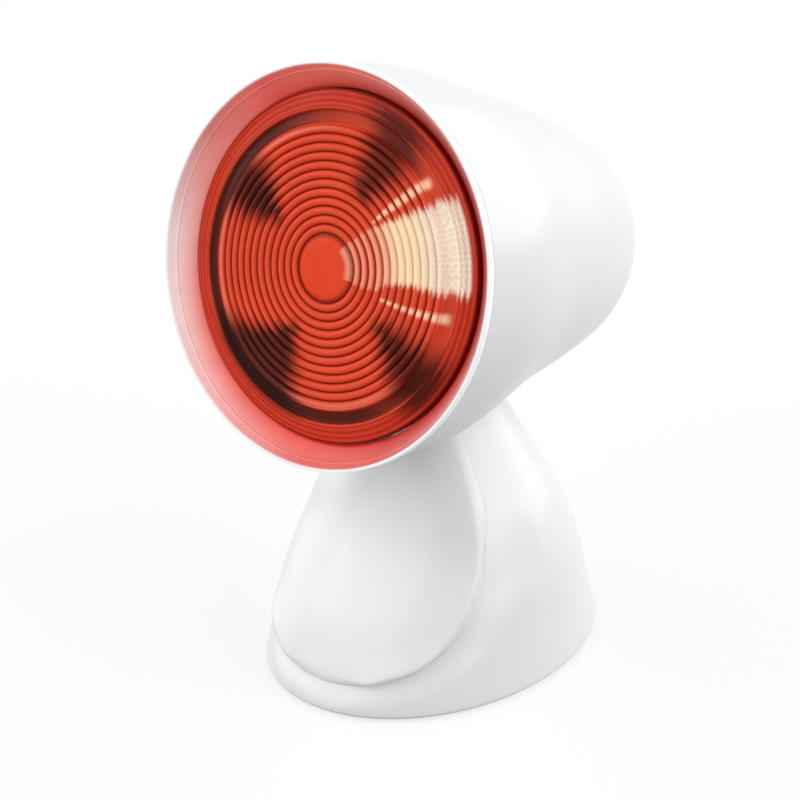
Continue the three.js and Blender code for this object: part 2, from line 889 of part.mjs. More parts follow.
// Supply leads, from the bore of the axle past the arm to the holder
function lampLeads() {
  const inAxle = (axleBore - leadRadius) * 0.7;
  const armSide = yokeInside + yokeSheet;
  const outside = armSide + runGap + axleHeadHeight;
  const turn = outside + 2 * leadRadius;
  const holderUnder = axisAbove - holderRadius;
  const live = lead([
    [-axleBore, 0, inAxle],
    [-armSide, 0, inAxle],
    [-outside, 0, inAxle],
    [-turn, leadRadius, inAxle + 2 * leadRadius],
    [-turn - leadRadius, yokeBoss + 2 * leadRadius, yokeBoss + 3 * leadRadius],
    [-armSide - leadRadius, 3 * yokeBoss, shankLow - leadRadius],
    [-holderScrewPlace, shankHigh, holderUnder],
  ]);
  const neutral = lead([
    [-axleBore, 0, -inAxle],
    [-armSide, 0, -inAxle],
    [-outside, 0, -inAxle],
    [-turn, 4 * leadRadius, -inAxle + leadRadius],
    [-turn - leadRadius, yokeBoss + 6 * leadRadius, yokeBoss - leadRadius],
    [-armSide - leadRadius, 4 * yokeBoss, shankLow - 2 * leadRadius],
    [-holderScrewPlace, shankHigh + 4 * leadRadius, holderUnder + leadRadius / 2],
  ]);
  piece(head, 'lamp_lead_live', live, leadBrown);
  piece(head, 'lamp_lead_neutral', neutral, leadBlue);
}

// Hinge

// The side outline of the knuckle at a dome radius
function knuckleOutline(dome) {
  const low = hoodHeight + seatGap;
  const steps = 10;
  const start = -0.12 * Math.PI;
  const arc = Array.from({ length: steps + 1 }, (_, step) => {
    const angle = start + ((Math.PI - 2 * start) * step) / steps;
    return [pivotBack + dome * Math.cos(angle), pivotHeight + dome * Math.sin(angle)];
  });
  return [
    [-knuckleAhead, low],
    [knuckleBack, low],
    [knuckleBack, low + knuckleFlange],
    ...arc,
    [-knuckleAhead, low + knuckleFlange],
  ];
}

// The knuckle: a flange on the neck, a plug in it, a dome round the axle and two higher cheeks
function hingeKnuckle() {
  const low = hoodHeight + seatGap;
  const dome = sheetAcrossX(knuckleOutline(knuckleRound), -knuckleHalf, knuckleHalf);
  const cheek = sheetAcrossX(knuckleOutline(detentEdge), cheekInside, knuckleHalf);
  const halfDepth = knuckleBack + knuckleFlange;
  const envelope = barAlongZ(1, low - cutOver, pivotHeight + 2 * knuckleRound, roundSteps)
    .scale(knuckleHalf + shellWall * 2, halfDepth, 1);
  const top = shared(join(dome, cheek), envelope);
  const plug = block([-plugHalf, -plugHalf, plugBottom()], [plugHalf, plugHalf, low + knuckleFlange / 2]);
  const axleHole = barAlongX(axleRadius + seatGap, -knuckleHalf - cutOver, knuckleHalf + cutOver)
    .translate(0, pivotBack, pivotHeight);
  const channel = barAlongZ(leadChannel, plugBottom() - cutOver, pivotHeight - axleRadius)
    .translate(0, leadChannel, 0);
  const [ballY, ballZ] = detentPlace();
  const ballBore = barAlongX(detentBore, knuckleHalf - detentBoreDepth, knuckleHalf + cutOver, tinySteps)
    .translate(0, ballY, ballZ);
  const boreTop = plugBottom() + screwLength - shelfThickness;
  const screwBores = [-1, 1].map((side) => (
    barAlongZ(screwRadius + seatGap, plugBottom() - cutOver, boreTop, tinySteps)
      .translate(side * knuckleScrewPlace(), 0, 0)));
  return cut(join(top, plug), axleHole, channel, ballBore, ...screwBores);
}

function plugBottom() {
  return shelfHeight + shelfThickness + seatGap;
}

function knuckleScrewPlace() {
  return plugHalf - screwHead;
}

function detentPlace() {
  return [pivotBack + detentReach * Math.cos(detentAngle), pivotHeight + detentReach * Math.sin(detentAngle)];
}

// The ball rests on the arm between two clicks, with its coil spring behind it
function detentParts() {
  const [ballY, ballZ] = detentPlace();
  const armFace = yokeInside - seatGap;
  const ball = new THREE.SphereGeometry(ballRadius, tinySteps, tinySteps / 2);
  piece(base, 'detent_ball', ball.translate(armFace - ballRadius, ballY, ballZ), steel);
  const from = knuckleHalf - detentBoreDepth + seatGap + detentWire;
  const to = armFace - 2 * ballRadius - seatGap;
  const coilRadius = detentBore - seatGap - detentWire;
  const turnSteps = 8;
  const points = Array.from({ length: detentCoils * turnSteps + 1 }, (_, step) => {
    const angle = (2 * Math.PI * step) / turnSteps;
    const reach = from + ((to - from) * step) / (detentCoils * turnSteps);
    const [back, up] = [coilRadius * Math.cos(angle), coilRadius * Math.sin(angle)];
    return new THREE.Vector3(reach, ballY + back, ballZ + up);
  });
  const section = new THREE.Shape();
  section.absarc(0, 0, detentWire, 0, 2 * Math.PI);
  const route = new THREE.CatmullRomCurve3(points);
  const settings = { steps: detentCoils * turnSteps, extrudePath: route, curveSegments: leadSides };
  piece(base, 'detent_spring', new THREE.ExtrudeGeometry(section, settings), steel);
}

// The hollow axle with its head on the left, its washers and the nut on the right
function axleParts() {
  const armOutside = yokeInside + yokeSheet;
  const headStart = -armOutside - runGap;
  const nutStart = armOutside + 2 * runGap + washerThickness;
  const tube = tubeAlongX(axleRadius, axleBore, headStart, nutStart + nutHeight, smallSteps);
  const rim = tubeAlongX(axleHead, axleBore, headStart - axleHeadHeight, headStart, smallSteps);
  const leadHole = barAlongZ(axleBore, -axleRadius - cutOver, 0, tinySteps);
  const axle = geometryOf(cut(join(tube, rim), leadHole));
  piece(base, 'tilt_axle', axle.translate(0, pivotBack, pivotHeight), steel);
  const washer = (from) => tubeAlongX(washerRadius, axleRadius + runGap, from, from + washerThickness)
    .translate(0, pivotBack, pivotHeight);
  piece(base, 'thrust_washer_left', washer(-knuckleHalf - seatGap - washerThickness), brass);
  piece(base, 'thrust_washer_right', washer(knuckleHalf + seatGap), brass);
  piece(base, 'spring_washer', washer(armOutside + runGap), steel);
  const sides = 6;
  const hexagon = barAlongX(nutAcross / 2 / Math.cos(Math.PI / sides), nutStart, nutStart + nutHeight, sides);
  const nutBore = barAlongX(axleRadius + seatGap, nutStart - cutOver, nutStart + nutHeight + cutOver);
  piece(base, 'axle_nut', geometryOf(cut(hexagon, nutBore)).translate(0, pivotBack, pivotHeight), steel);
}

// Base

// Half width and half depth of the hood at a height
function hoodAxes(height) {
  const spans = hoodShares.length - 3;
  const [width, depth] = along(hoodShares, height / (hoodRowStep * spans));
  return [width * baseHalfWidth, depth * baseHalfDepth];
}

// Half width, edge depth and middle depth of the front panel at a height
function panelRow(height) {
  const [, width, edge, middle] = along(panelShares, placeOf(panelShares, height / panelTop));
  return [Math.max(width, 0) * panelHalfWidth, edge * baseHalfDepth, middle * baseHalfDepth];
}

function panelFoot() {
  return panelShares[1][0] * panelTop;
}

// Depth of the panel's face at a place across it
function panelFace(height, across) {
  const [halfWidth, edge, middle] = panelRow(height);
  const share = halfWidth > 0 ? Math.min(Math.abs(across) / halfWidth, 1) : 1;
  return middle + (edge - middle) * share ** panelCurve;
}

// Depth of the hood's front wall, which dips behind the panel
function hoodFace(height, across, inset) {
  const [halfWidth, halfDepth] = hoodAxes(height);
  const share = Math.min(Math.abs(across) / (halfWidth - inset), 1);
  const bell = -(halfDepth - inset) * Math.sqrt(1 - share * share);
  const [panelHalf] = panelRow(height);
  if (height < panelFoot() || Math.abs(across) > panelHalf + inset) return bell;
  return Math.max(bell, panelFace(height, across) + panelWall + seatGap + inset);
}

// Half width of the hood's front stretch, which follows the panel's own points
function frontHalf(height) {
  const least = panelHalfWidth * panelShares[1][1];
  return height < panelFoot() ? least : Math.max(panelRow(height)[0], least);
}

// One section of the hood: the front stretch from left to right, then round the back
function hoodRing(height, inset) {
  const [halfWidth, halfDepth] = hoodAxes(height);
  const [width, depth] = [halfWidth - inset, halfDepth - inset];
  const front = Math.min(frontHalf(height), width * 0.97);
  const ring = [];
  for (let step = 0; step <= hoodPointsAhead; step += 1) {
    const across = front * ((2 * step) / hoodPointsAhead - 1);
    ring.push(new THREE.Vector3(across, hoodFace(height, across, inset), height));
  }
  const start = Math.acos(front / width);
  for (let step = 1; step < hoodPointsBehind; step += 1) {
    const angle = -start + ((Math.PI + 2 * start) * step) / hoodPointsBehind;
    ring.push(new THREE.Vector3(width * Math.cos(angle), depth * Math.sin(angle), height));
  }
  return ring;
}

function panelHeights() {
  const shares = [0.003, 0.016, 0.042, 0.08, 0.14, 0.2, 0.32, 0.46, 0.6, 0.74, 0.88, 1];
  return shares.map((share) => panelFoot() + share * (panelTop - panelFoot()));
}

// The hood, hollow below its shelf, with screw bosses, and solid round the plug above it
function hoodShell() {
  const ledge = panelFoot() - seatGap;
  const heights = [hoodBottom, ledge / 2, ledge, ...panelHeights().slice(0, -1), hoodHeight];
  const outer = skin(heights.map((height) => hoodRing(height, 0)));
  const hollowShares = [0, 0.1, 0.16, 0.28, 0.5, 0.75, 1];
  const hollow = skin(hollowShares.map((share) => {
    const height = hoodBottom + share * (shelfHeight - hoodBottom);
    return hoodRing(height, shellWall);
  }));
  const mouth = skin([-1, 1].map((side) => (
    hoodRing(hoodBottom, shellWall).map((point) => point.setZ(hoodBottom + (side * cutOver) / 2)))));
  const bossTop = hoodBottom + bossRiseShare * hoodRowStep;
  const bosses = bossPlaces().map(([x, y]) => {
    const boss = barAlongZ(bossRadius, plateBottom + plateThickness + seatGap, bossTop, tinySteps);
    return shared(boss.translate(x, y, 0), outer);
  });
  const pad = switchBlock(-shellWall, rockerRound, -2 * shellWall, shellWall);
  const switchPad = shared(switchTransform(pad), outer);
  const shelfHoles = [
    barAlongZ(leadChannel, shelfHeight - cutOver, plugBottom() + cutOver).translate(0, leadChannel, 0),
    ...[-1, 1].map((side) => (
      barAlongZ(screwRadius + seatGap, shelfHeight - cutOver, plugBottom() + cutOver, tinySteps)
        .translate(side * knuckleScrewPlace(), 0, 0))),
  ];
  const pocketHalf = plugHalf + seatGap;
  const pocket = block(
    [-pocketHalf, -pocketHalf, shelfHeight + shelfThickness],
    [pocketHalf, pocketHalf, hoodHeight + cutOver],
  );
  const bossBores = bossPlaces().map(([x, y]) => (
    barAlongZ(screwRadius + seatGap, 0, plateBottom + baseScrewLength, tinySteps).translate(x, y, 0)));
  return cut(
    join(cut(outer, hollow, mouth), ...bosses, switchPad),
    pocket, ...shelfHoles, ...bossBores, ...switchCuts(), ...glandCuts(), ...pegHoles(),
  );
}

function bossPlaces() {
  return [[-1, -1], [1, -1], [-1, 1], [1, 1]].map(([x, y]) => [x * bossPlaceX, y * bossPlaceY]);
}

// A closed sheet between two grids of points, each of rows that rise and run from left to right
function sheet(face, back) {
  const [rows, columns] = [face.length, face[0].length];
  const [top, right] = [rows - 1, columns - 1];
  const onFace = (row, column) => row * columns + column;
  const onBack = (row, column) => (rows + row) * columns + column;
  const faces = [];
  const quad = (a, b, c, d) => faces.push(a, b, d, b, c, d);
  for (let row = 0; row < top; row += 1) {
    for (let column = 0; column < right; column += 1) {
      quad(onFace(row, column), onFace(row, column + 1), onFace(row + 1, column + 1), onFace(row + 1, column));
      quad(onBack(row, column), onBack(row + 1, column), onBack(row + 1, column + 1), onBack(row, column + 1));
    }
    quad(onFace(row, 0), onFace(row + 1, 0), onBack(row + 1, 0), onBack(row, 0));
    quad(onFace(row, right), onBack(row, right), onBack(row + 1, right), onFace(row + 1, right));
  }
  for (let column = 0; column < right; column += 1) {
    quad(onFace(0, column), onBack(0, column), onBack(0, column + 1), onFace(0, column + 1));
    quad(onFace(top, column), onFace(top, column + 1), onBack(top, column + 1), onBack(top, column));
  }
  const points = [...face, ...back].flat();
  const geometry = new THREE.BufferGeometry().setFromPoints(points);
  geometry.setIndex(faces);
  return geometry;
}

// The drop-shaped front panel, backed by the hood's front wall and held by two pegs
function frontPanel() {
  const grid = (depthAt) => panelHeights().map((height) => {
    const [half] = panelRow(height);
    return Array.from({ length: hoodPointsAhead + 1 }, (_, step) => {
      const across = half * ((2 * step) / hoodPointsAhead - 1);
      return new THREE.Vector3(across, depthAt(height, across), height);
    });
  });
  const face = grid(panelFace);
  const back = grid((height, across) => hoodFace(height, across, 0) - seatGap);
  const pegs = pegPlaces().map(([depth, height]) => (
    halfTurned(bar(pegRadius, depth, depth + panelWall + pegLength, tinySteps)).translate(0, 0, height)));
  return join(sheet(face, back), ...pegs);
}

function pegPlaces() {
  return pegShares.map((share) => {
    const height = share * panelTop;
    return [panelFace(height, 0) + panelWall / 2, height];
  });
}

function pegHoles() {
  return pegPlaces().map(([depth, height]) => {
    const end = depth + panelWall + pegLength + cutOver;
    return halfTurned(bar(pegRadius + seatGap, depth - panelWall, end, tinySteps)).translate(0, 0, height);
  });
}

// The bottom plate with holes for the screws and the stems of the feet
function basePlate() {
  const height = plateBottom + plateThickness / 2;
  const margin = shellWall + 3 * seatGap;
  const [halfWidth, halfDepth] = hoodAxes(plateBottom + plateThickness).map((half) => half - margin);
  const plate = barAlongZ(1, plateBottom, plateBottom + plateThickness, roundSteps)
    .scale(halfWidth, halfDepth, 1);
  const screwHoles = bossPlaces().flatMap(([x, y]) => [
    barAlongZ(screwRadius + seatGap, 0, height + plateThickness, tinySteps).translate(x, y, 0),
    barAlongZ(screwHead + seatGap, plateBottom - cutOver, plateBottom + screwHeadHeight, tinySteps)
      .translate(x, y, 0),
  ]);
  const stemHoles = footPlaces().map(([x, y]) => (
    barAlongZ(footStem + seatGap, 0, height + plateThickness, tinySteps).translate(x, y, 0)));
  return cut(plate, ...screwHoles, ...stemHoles);
}

function footPlaces() {
  return [[-1, -1], [1, -1], [-1, 1], [1, 1]].map(([x, y]) => [x * footPlaceX, y * footPlaceY]);
}

const cornerNames = ['front_left', 'front_right', 'rear_left', 'rear_right'];

function feetAndScrews() {
  footPlaces().forEach(([x, y], index) => {
    const foot = turned([
      [0, 0],
      [footRadius - footHeight / 2, 0],
      [footRadius, footHeight / 2],
      [footRadius, footHeight],
      [footStem, footHeight],
      [footStem, plateBottom + plateThickness - seatGap],
      [0, plateBottom + plateThickness - seatGap],
    ], smallSteps).rotateX(Math.PI / 2);
    piece(base, `foot_${cornerNames[index]}`, foot.translate(x, y, 0), rubber);
  });
  bossPlaces().forEach(([x, y], index) => {
    const start = plateBottom + screwHeadHeight - seatGap;
    const baseScrew = screw(baseScrewLength - screwHeadHeight - seatGap).rotateX(Math.PI / 2);
    piece(base, `base_screw_${cornerNames[index]}`, baseScrew.translate(x, y, start), steel);
  });
  [-1, 1].forEach((side) => {
    const name = side < 0 ? 'left' : 'right';
    const knuckleScrew = screw(screwLength - 2 * seatGap).rotateX(Math.PI / 2)
      .translate(side * knuckleScrewPlace(), 0, shelfHeight - seatGap);
    piece(base, `knuckle_screw_${name}`, knuckleScrew, steel);
  });
}

// A steel plate that keeps the lamp standing when the head is tilted
function ballast() {
  const low = plateBottom + plateThickness + seatGap;
  const half = (ballastAhead + ballastBack) / 2;
  const shape = roundedBlock(ballastHalfWidth, half, ballastBack, low, low + ballastThickness);
  return shape.translate(0, ballastBack - half, 0);
}

// Places a switch piece, drawn round the origin with +Z out of the hood, on the back of the hood
function switchTransform(geometry) {
  const [, depth] = hoodAxes(switchHeight);
  return geometry.rotateX(-Math.PI / 2 + switchLean()).translate(0, depth, switchHeight);
}

// Slope of the hood's back at the switch
function switchLean() {
  const reach = switchDepth / 2;
  const [, low] = hoodAxes(switchHeight - reach);
  const [, high] = hoodAxes(switchHeight + reach);
  return Math.atan2(low - high, 2 * reach);
}

// A rounded bar as large as the switch, less an inset all round
function switchBlock(inset, corner, from, to) {
  return roundedBlock(switchWidth / 2 - inset, switchDepth / 2 - inset, corner, from, to);
}

function switchCuts() {
  const recess = switchBlock(-seatGap, rockerRound, -bezelThickness - seatGap, 2 * cutOver);
  const hole = switchBlock(bezelWall - seatGap, bezelWall / 2, -switchBody, 0);
  return [switchTransform(recess), switchTransform(hole)];
}

// The switch housing: bezel, body and the pocket in which the rocker works
function switchFrame() {
  const bezel = switchBlock(0, rockerRound, -bezelThickness, bezelWall / 2);
  const body = switchBlock(bezelWall, bezelWall / 2, -switchBody, -bezelThickness / 2);
  const pocket = switchBlock(2 * bezelWall, bezelWall / 2, -2 * rockerPivotDepth, cutOver);
  return switchTransform(geometryOf(cut(join(bezel, body), pocket)));
}

// The rocker, rounded underneath about its pivot and dished on top, at rest on its off side
function switchRocker() {
  const half = switchWidth / 2 - 2 * bezelWall - 2 * seatGap;
  const reach = half - seatGap;
  const depth = switchDepth / 2 - 2 * bezelWall - seatGap;
  const steps = 6;
  const under = Array.from({ length: steps + 1 }, (_, step) => {
    const angle = Math.PI + (Math.PI * step) / steps;
    return [reach * 0.75 * Math.cos(angle), reach * 0.45 * Math.sin(angle)];
  });
  const top = rockerPivotDepth + rockerProud;
  const outline = [...under, [reach * 0.98, top], [0, top - rockerProud * 0.6], [-reach * 0.98, top]];
  const shape = new THREE.Shape(outline.map(([x, z]) => new THREE.Vector2(x, z)));
  const geometry = new THREE.ExtrudeGeometry(shape, { depth: 2 * depth, bevelEnabled: false });
  return switchTransform(geometry.translate(0, 0, -depth).rotateX(Math.PI / 2).rotateY(-rockerTilt)
    .translate(0, 0, -rockerPivotDepth));
}

function switchBlade(side) {
  const start = -switchBody - seatGap;
  const x = side * (switchWidth / 2 - 3 * bezelWall);
  return switchTransform(block(
    [x - bladeThickness / 2, -bladeWidth / 2, start - bladeLength],
    [x + bladeThickness / 2, bladeWidth / 2, start],
  ));
}

function glandDepth() {
  return hoodAxes(glandHeight)[1];
}

// The ring that guards the supply inlet
function cordGland() {
  const face = glandDepth() + glandFlangeDepth / 2;
  const gland = ringTurned([
    [glandBore, face],
    [glandFlange - lipRound, face],
    [glandFlange, face - lipRound],
    [glandFlange, face - glandFlangeDepth],
    [glandRadius, face - glandFlangeDepth],
    [glandRadius, face - glandLength],
    [glandBore, face - glandLength],
  ], smallSteps);
  return gland.translate(0, 0, glandHeight);
}

function glandCuts() {
  const face = glandDepth() + glandFlangeDepth / 2;
  const back = face - glandFlangeDepth - seatGap;
  return [
    bar(glandFlange + seatGap, back, face + 2 * cutOver).translate(0, 0, glandHeight),
    bar(glandRadius + seatGap, back - 4 * cutOver, back + cutOver).translate(0, 0, glandHeight),
  ];
}

// A two-way terminal block on the bottom plate
function terminalBlock() {
  const low = plateBottom + plateThickness + seatGap;
  const [half, deep] = [blockWidth / 2, blockDepth / 2];
  const body = block([-half, blockBack - deep, low], [half, blockBack + deep, low + blockHeight * 0.6]);
  const towers = [-1, 1].map((side) => (
    roundedBlock(half * 0.36, deep * 0.8, bezelWall, low, low + blockHeight)
      .translate(side * half * 0.5, blockBack, 0)));
  const bores = [-1, 1].map((side) => (
    bar(blockBore, blockBack - blockDepth, blockBack + blockDepth, tinySteps)
      .translate(side * half * 0.5, 0, low + blockHeight / 3)));
  return cut(join(body, ...towers), ...bores);
}

// Leads inside the base: block to switch, switch to axle and block to axle
function baseLeads() {
  const low = plateBottom + plateThickness + seatGap;
  const blockTop = low + blockHeight + seatGap + leadRadius;
  const side = blockWidth / 4;
  const [, hoodDepth] = hoodAxes(switchHeight);
  const bladeX = switchWidth / 2 - 3 * bezelWall;
  const inside = hoodDepth - switchBody - bladeLength - 4 * leadRadius;
  const top = pivotHeight - axleRadius - 2 * leadRadius;
  const live = lead([
    [-bladeX, inside, switchHeight - bezelWall],
    [-bladeX, inside - 3 * leadRadius, switchHeight + blockWidth / 2],
    [-leadRadius * 3, leadChannel + blockDepth, shelfHeight - blockDepth],
    [-leadRadius * 1.4, leadChannel, shelfHeight + shelfThickness],
    [-leadRadius * 1.4, leadChannel, top],
  ]);
  const neutral = lead([
    [side, blockBack, blockTop],
    [side, blockBack - blockDepth / 2, switchHeight + blockDepth],
    [leadRadius * 3, leadChannel + blockDepth, shelfHeight - blockDepth],
    [leadRadius * 1.4, leadChannel, shelfHeight + shelfThickness],
    [leadRadius * 1.4, leadChannel, top],
  ]);
  const jumper = lead([
    [-side, blockBack, blockTop],
    [-side / 2, blockBack - leadRadius, blockTop + blockHeight / 2],
    [bladeX / 2, inside - leadRadius, switchHeight - blockHeight],
    [bladeX, inside, switchHeight - bezelWall],
  ]);
  piece(base, 'base_lead_live', live, leadBrown);
  piece(base, 'base_lead_neutral', neutral, leadBlue);
  piece(base, 'switch_lead', jumper, leadBrown);
}

piece(head, 'head_shell', headShell(), whitePlastic);
piece(head, 'inner_shade', innerShade(), innerWhite);
piece(head, 'heat_shield', heatShield(), aluminium);
piece(head, 'bulb_lens', bulbLens(), redGlass);
piece(head, 'bulb_reflector', bulbReflector(), mirrorGlass);
piece(head, 'bulb_filament', filament(), steel);
piece(head, 'filament_stem', filamentStem(), mirrorGlass);
piece(head, 'bulb_ferrule', bulbFerrule(), aluminium);
piece(head, 'screw_cap', screwCap(), brass);
piece(head, 'cap_insulator', capInsulator(), blackPlastic);
piece(head, 'cap_contact', capContact(), brass);
piece(head, 'lampholder', lampholder(), ceramic);
piece(head, 'holder_liner', holderLiner(), brass);
piece(head, 'holder_spring', holderSpring(), brass);
piece(head, 'yoke', yoke(), steel);
yokeScrews();
lampLeads();

piece(base, 'hinge_knuckle', hingeKnuckle(), whitePlastic);
detentParts();
axleParts();
piece(base, 'hood_shell', hoodShell(), whitePlastic);
piece(base, 'front_panel', frontPanel(), whitePlastic);
piece(base, 'base_plate', basePlate(), greyPlastic);
piece(base, 'ballast_plate', ballast(), steel);
feetAndScrews();
piece(base, 'switch_frame', switchFrame(), blackPlastic);
piece(base, 'switch_rocker', switchRocker(), blackPlastic);
piece(base, 'switch_blade_left', switchBlade(-1), brass);
piece(base, 'switch_blade_right', switchBlade(1), brass);
piece(base, 'cord_gland', cordGland(), blackPlastic);
piece(base, 'terminal_block', terminalBlock(), innerWhite);
baseLeads();

// Brings the middle of the whole lamp over the origin
lamp.position.y = -middleBack;

export default lamp;
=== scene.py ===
"""Looks of a table-top infrared heat lamp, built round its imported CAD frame. Sizes are in millimetres."""
import json
import math

import bpy
import numpy as np
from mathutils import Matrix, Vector


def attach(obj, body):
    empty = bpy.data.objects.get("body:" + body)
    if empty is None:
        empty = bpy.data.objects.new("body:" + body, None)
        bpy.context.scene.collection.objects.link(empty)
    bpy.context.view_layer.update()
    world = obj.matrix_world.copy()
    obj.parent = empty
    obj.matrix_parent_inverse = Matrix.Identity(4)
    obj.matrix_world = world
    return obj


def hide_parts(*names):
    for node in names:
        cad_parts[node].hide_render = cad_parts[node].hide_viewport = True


MM = 0.001
ON_AXIS = 1e-6

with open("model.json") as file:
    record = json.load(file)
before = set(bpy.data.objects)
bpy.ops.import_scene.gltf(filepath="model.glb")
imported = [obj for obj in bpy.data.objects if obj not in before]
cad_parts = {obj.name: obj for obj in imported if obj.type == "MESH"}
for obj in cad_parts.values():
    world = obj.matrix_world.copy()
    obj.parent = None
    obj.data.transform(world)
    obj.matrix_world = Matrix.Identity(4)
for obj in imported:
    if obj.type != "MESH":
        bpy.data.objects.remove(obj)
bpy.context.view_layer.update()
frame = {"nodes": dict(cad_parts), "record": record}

# Fits and walls, as in the CAD
SEAT_GAP = 0.3
SHELL_WALL = 2.5

# Tilt
PIVOT = (0, 1.59, 111)
REST_TILT = math.radians(12)

# Head
RIM_AHEAD = 87.4
AXIS_ABOVE = 40.9
RIM_RADIUS = 69.5
HEAD_LENGTH = 167.5
HEAD_RISE = 5.1
# Rows from rim to rear: station, radius above the axis and radius below it, with a guide row at each end
HEAD_SHARES = [
    (-0.2, 1, 1.02),
    (0, 1, 1),
    (0.2, 0.99, 0.95),
    (0.4, 0.899, 0.785),
    (0.6, 0.803, 0.69),
    (0.8, 0.656, 0.605),
    (0.93, 0.452, 0.44),
    (1, 0, 0),
    (0.93, -0.452, -0.44),
]
INNER_POLE_SHARE = 0.06
SLOT_HALF_WIDTH = 26.5
SLOT_AHEAD = 44
SLOT_BACK = 56
SLOT_CORNER = 14
SLOT_TOP = 19
VENT_COUNT = 5
VENT_WIDTH = 34
VENT_HEIGHT = 3
VENT_PITCH = 6.2
VENT_DEPTH = 22
VENT_ROUND_SPARE = 0.01

# Shade
LIP_RADIUS = 69.6
LIP_THICKNESS = 1
LIP_DEPTH = 2.8
LIP_ROUND = 0.5
FUNNEL_RADIUS = 60.8
FUNNEL_DEPTH = 9
FUNNEL_HOLLOW = 0.4
LIP_FADE = (0.5, 0.3)
SKIRT_LENGTH = 4
SHADE_WALL = 1.4
SPIGOT_LENGTH = 5

# Lens
LENS_RADIUS = 60.5
LENS_BEHIND_RIM = 7.4
DOME_HEIGHT = 3.6
DOME_POWER = 6
LENS_WALL = 3.2
DISC_RADIUS = 12
RIB_REACH = 48.6
RIB_COUNT = 12
RIB_GROOVE = 0.9
FLANGE_WIDTH = 6.5
FLANGE_ROUND = 1
CHANNEL_DEPTH = 1.4
RIPPLE_PITCH = 2
SEAL_DEPTH = 12

# Base hood, with rows every 20 mm of height
HOOD_HEIGHT = 103.3
HOOD_BOTTOM = 1.2
HOOD_ROW_STEP = 20
HOOD_FOOT_ROUND = 1.6
HOOD_TOP_ROUND = 0.8
SHELF_HEIGHT = 82
BASE_BACK = -6.41
BASE_HALF_WIDTH = 58.8
BASE_HALF_DEPTH = 76.9
# Rows from the floor up: half width and half depth, with a guide row at each end
HOOD_SHARES = [
    (1.05, 1.08),
    (1, 1),
    (0.937, 0.915),
    (0.874, 0.832),
    (0.757, 0.703),
    (0.577, 0.521),
    (0.406, 0.356),
    (0.29, 0.25),
    (0.2, 0.17),
]

# Front panel
PANEL_TOP = 103
PANEL_WALL = 2.5
PANEL_HALF_WIDTH = 42.4
PANEL_CURVE = 2.2
PANEL_ROUND = 2
PANEL_GAP = 0.06
PANEL_SINK = 3
PANEL_CORNER = 3
PANEL_DRAFT = 0.3
PANEL_MIDDLE = 0.45
SINK_POWER = 6
LEAST_HALF_WIDTH = 0.01
RECESS_REACH = 1.5
# Rows from the foot up: height, half width, edge depth and middle depth, with a guide row at each end
PANEL_SHARES = [
    (0.105, -0.2, -0.926, -0.928),
    (0.103, 0, -0.926, -0.928),
    (0.1075, 0.2, -0.918, -0.926),
    (0.121, 0.4, -0.9, -0.92),
    (0.1417, 0.571, -0.871, -0.91),
    (0.195, 0.828, -0.762, -0.874),
    (0.291, 0.965, -0.597, -0.801),
    (0.4165, 1, -0.46, -0.671),
    (0.532, 0.962, -0.371, -0.56),
    (0.653, 0.882, -0.32, -0.477),
    (0.796, 0.698, -0.246, -0.416),
    (0.9476, 0.5, -0.202, -0.371),
    (1, 0.46, -0.186, -0.35),
    (1.06, 0.4, -0.165, -0.33),
]

# Dish in the hood round the panel: the heights between which it deepens, and between which it fades again
DIP_DEPTH = 2
DIP_REACH = 11
DIP_HEIGHTS = [(4, 11), (38, 68)]

# Steps of the fine meshes
HEAD_STEPS = 192
HEAD_ROWS = 110
LENS_STEPS = 360
RIB_ROWS = 8
HOOD_STEPS = 192
HOOD_ROWS = 90
PANEL_POINTS = 240
PANEL_RINGS = 26
HEAD_READINGS = 400
PANEL_READINGS = 600
PANEL_BEND_STEPS = 12
FUNNEL_STEPS = 9
DISC_ROWS = 7
FLANGE_ROWS = 10
GLAND_STEPS = 64
VENT_STEPS = 8

# Openings at the back of the hood
SWITCH_HEIGHT = 31
SWITCH_WIDTH = 23
SWITCH_DEPTH = 17
BEZEL_THICKNESS = 1.9
BEZEL_WALL = 2
BEZEL_CORNER = 3
SWITCH_BODY = 13
GLAND_HEIGHT = 11
GLAND_FLANGE = 6.4
GLAND_FLANGE_DEPTH = 2
GLAND_RADIUS = 5
GLAND_OVERLAP = 1
CUT_OVER = 6


def along(rows, place):
    """Reads a smooth curve through rows of shares; the first and last rows only guide its slope."""
    rows = np.asarray(rows, float)
    spans = len(rows) - 3
    reach = np.clip(np.asarray(place, float), 0, 1) * spans
    index = np.minimum(reach.astype(int), spans - 1)
    part = (reach - index)[..., None]
    before, start, end, after = (rows[index + step] for step in range(4))
    slope_in = (end - before) / 2
    slope_out = (after - start) / 2
    cubic = 2 * (start - end) + slope_in + slope_out
    square = 3 * (end - start) - 2 * slope_in - slope_out
    return ((cubic * part + square) * part + slope_in) * part + start


def smooth_step(value, low, high):
    """0 below low, 1 above high, and smooth between them."""
    share = np.clip((value - low) / (high - low), 0, 1)
    return share * share * (3 - 2 * share)


def window(value, low, high, soft):
    """1 between low and high, fading to 0 over a soft distance outside them."""
    return smooth_step(value, low - soft, low) * (1 - smooth_step(value, high, high + soft))


def head_place(points):
    """Head points, measured from the pivot along the lamp axis, as row-frame points."""
    points = np.asarray(points, float)
    sine, cosine = math.sin(REST_TILT), math.cos(REST_TILT)
    back = points[..., 1] * cosine + points[..., 2] * sine
    up = points[..., 2] * cosine - points[..., 1] * sine
    return np.stack([points[..., 0], back, up], -1) + np.array(PIVOT)


def axis_place(points):
    """Points turned about the lamp axis, with stations counted back from the rim, as row-frame points."""
    return head_place(np.asarray(points, float) + np.array((0, -RIM_AHEAD, AXIS_ABOVE)))


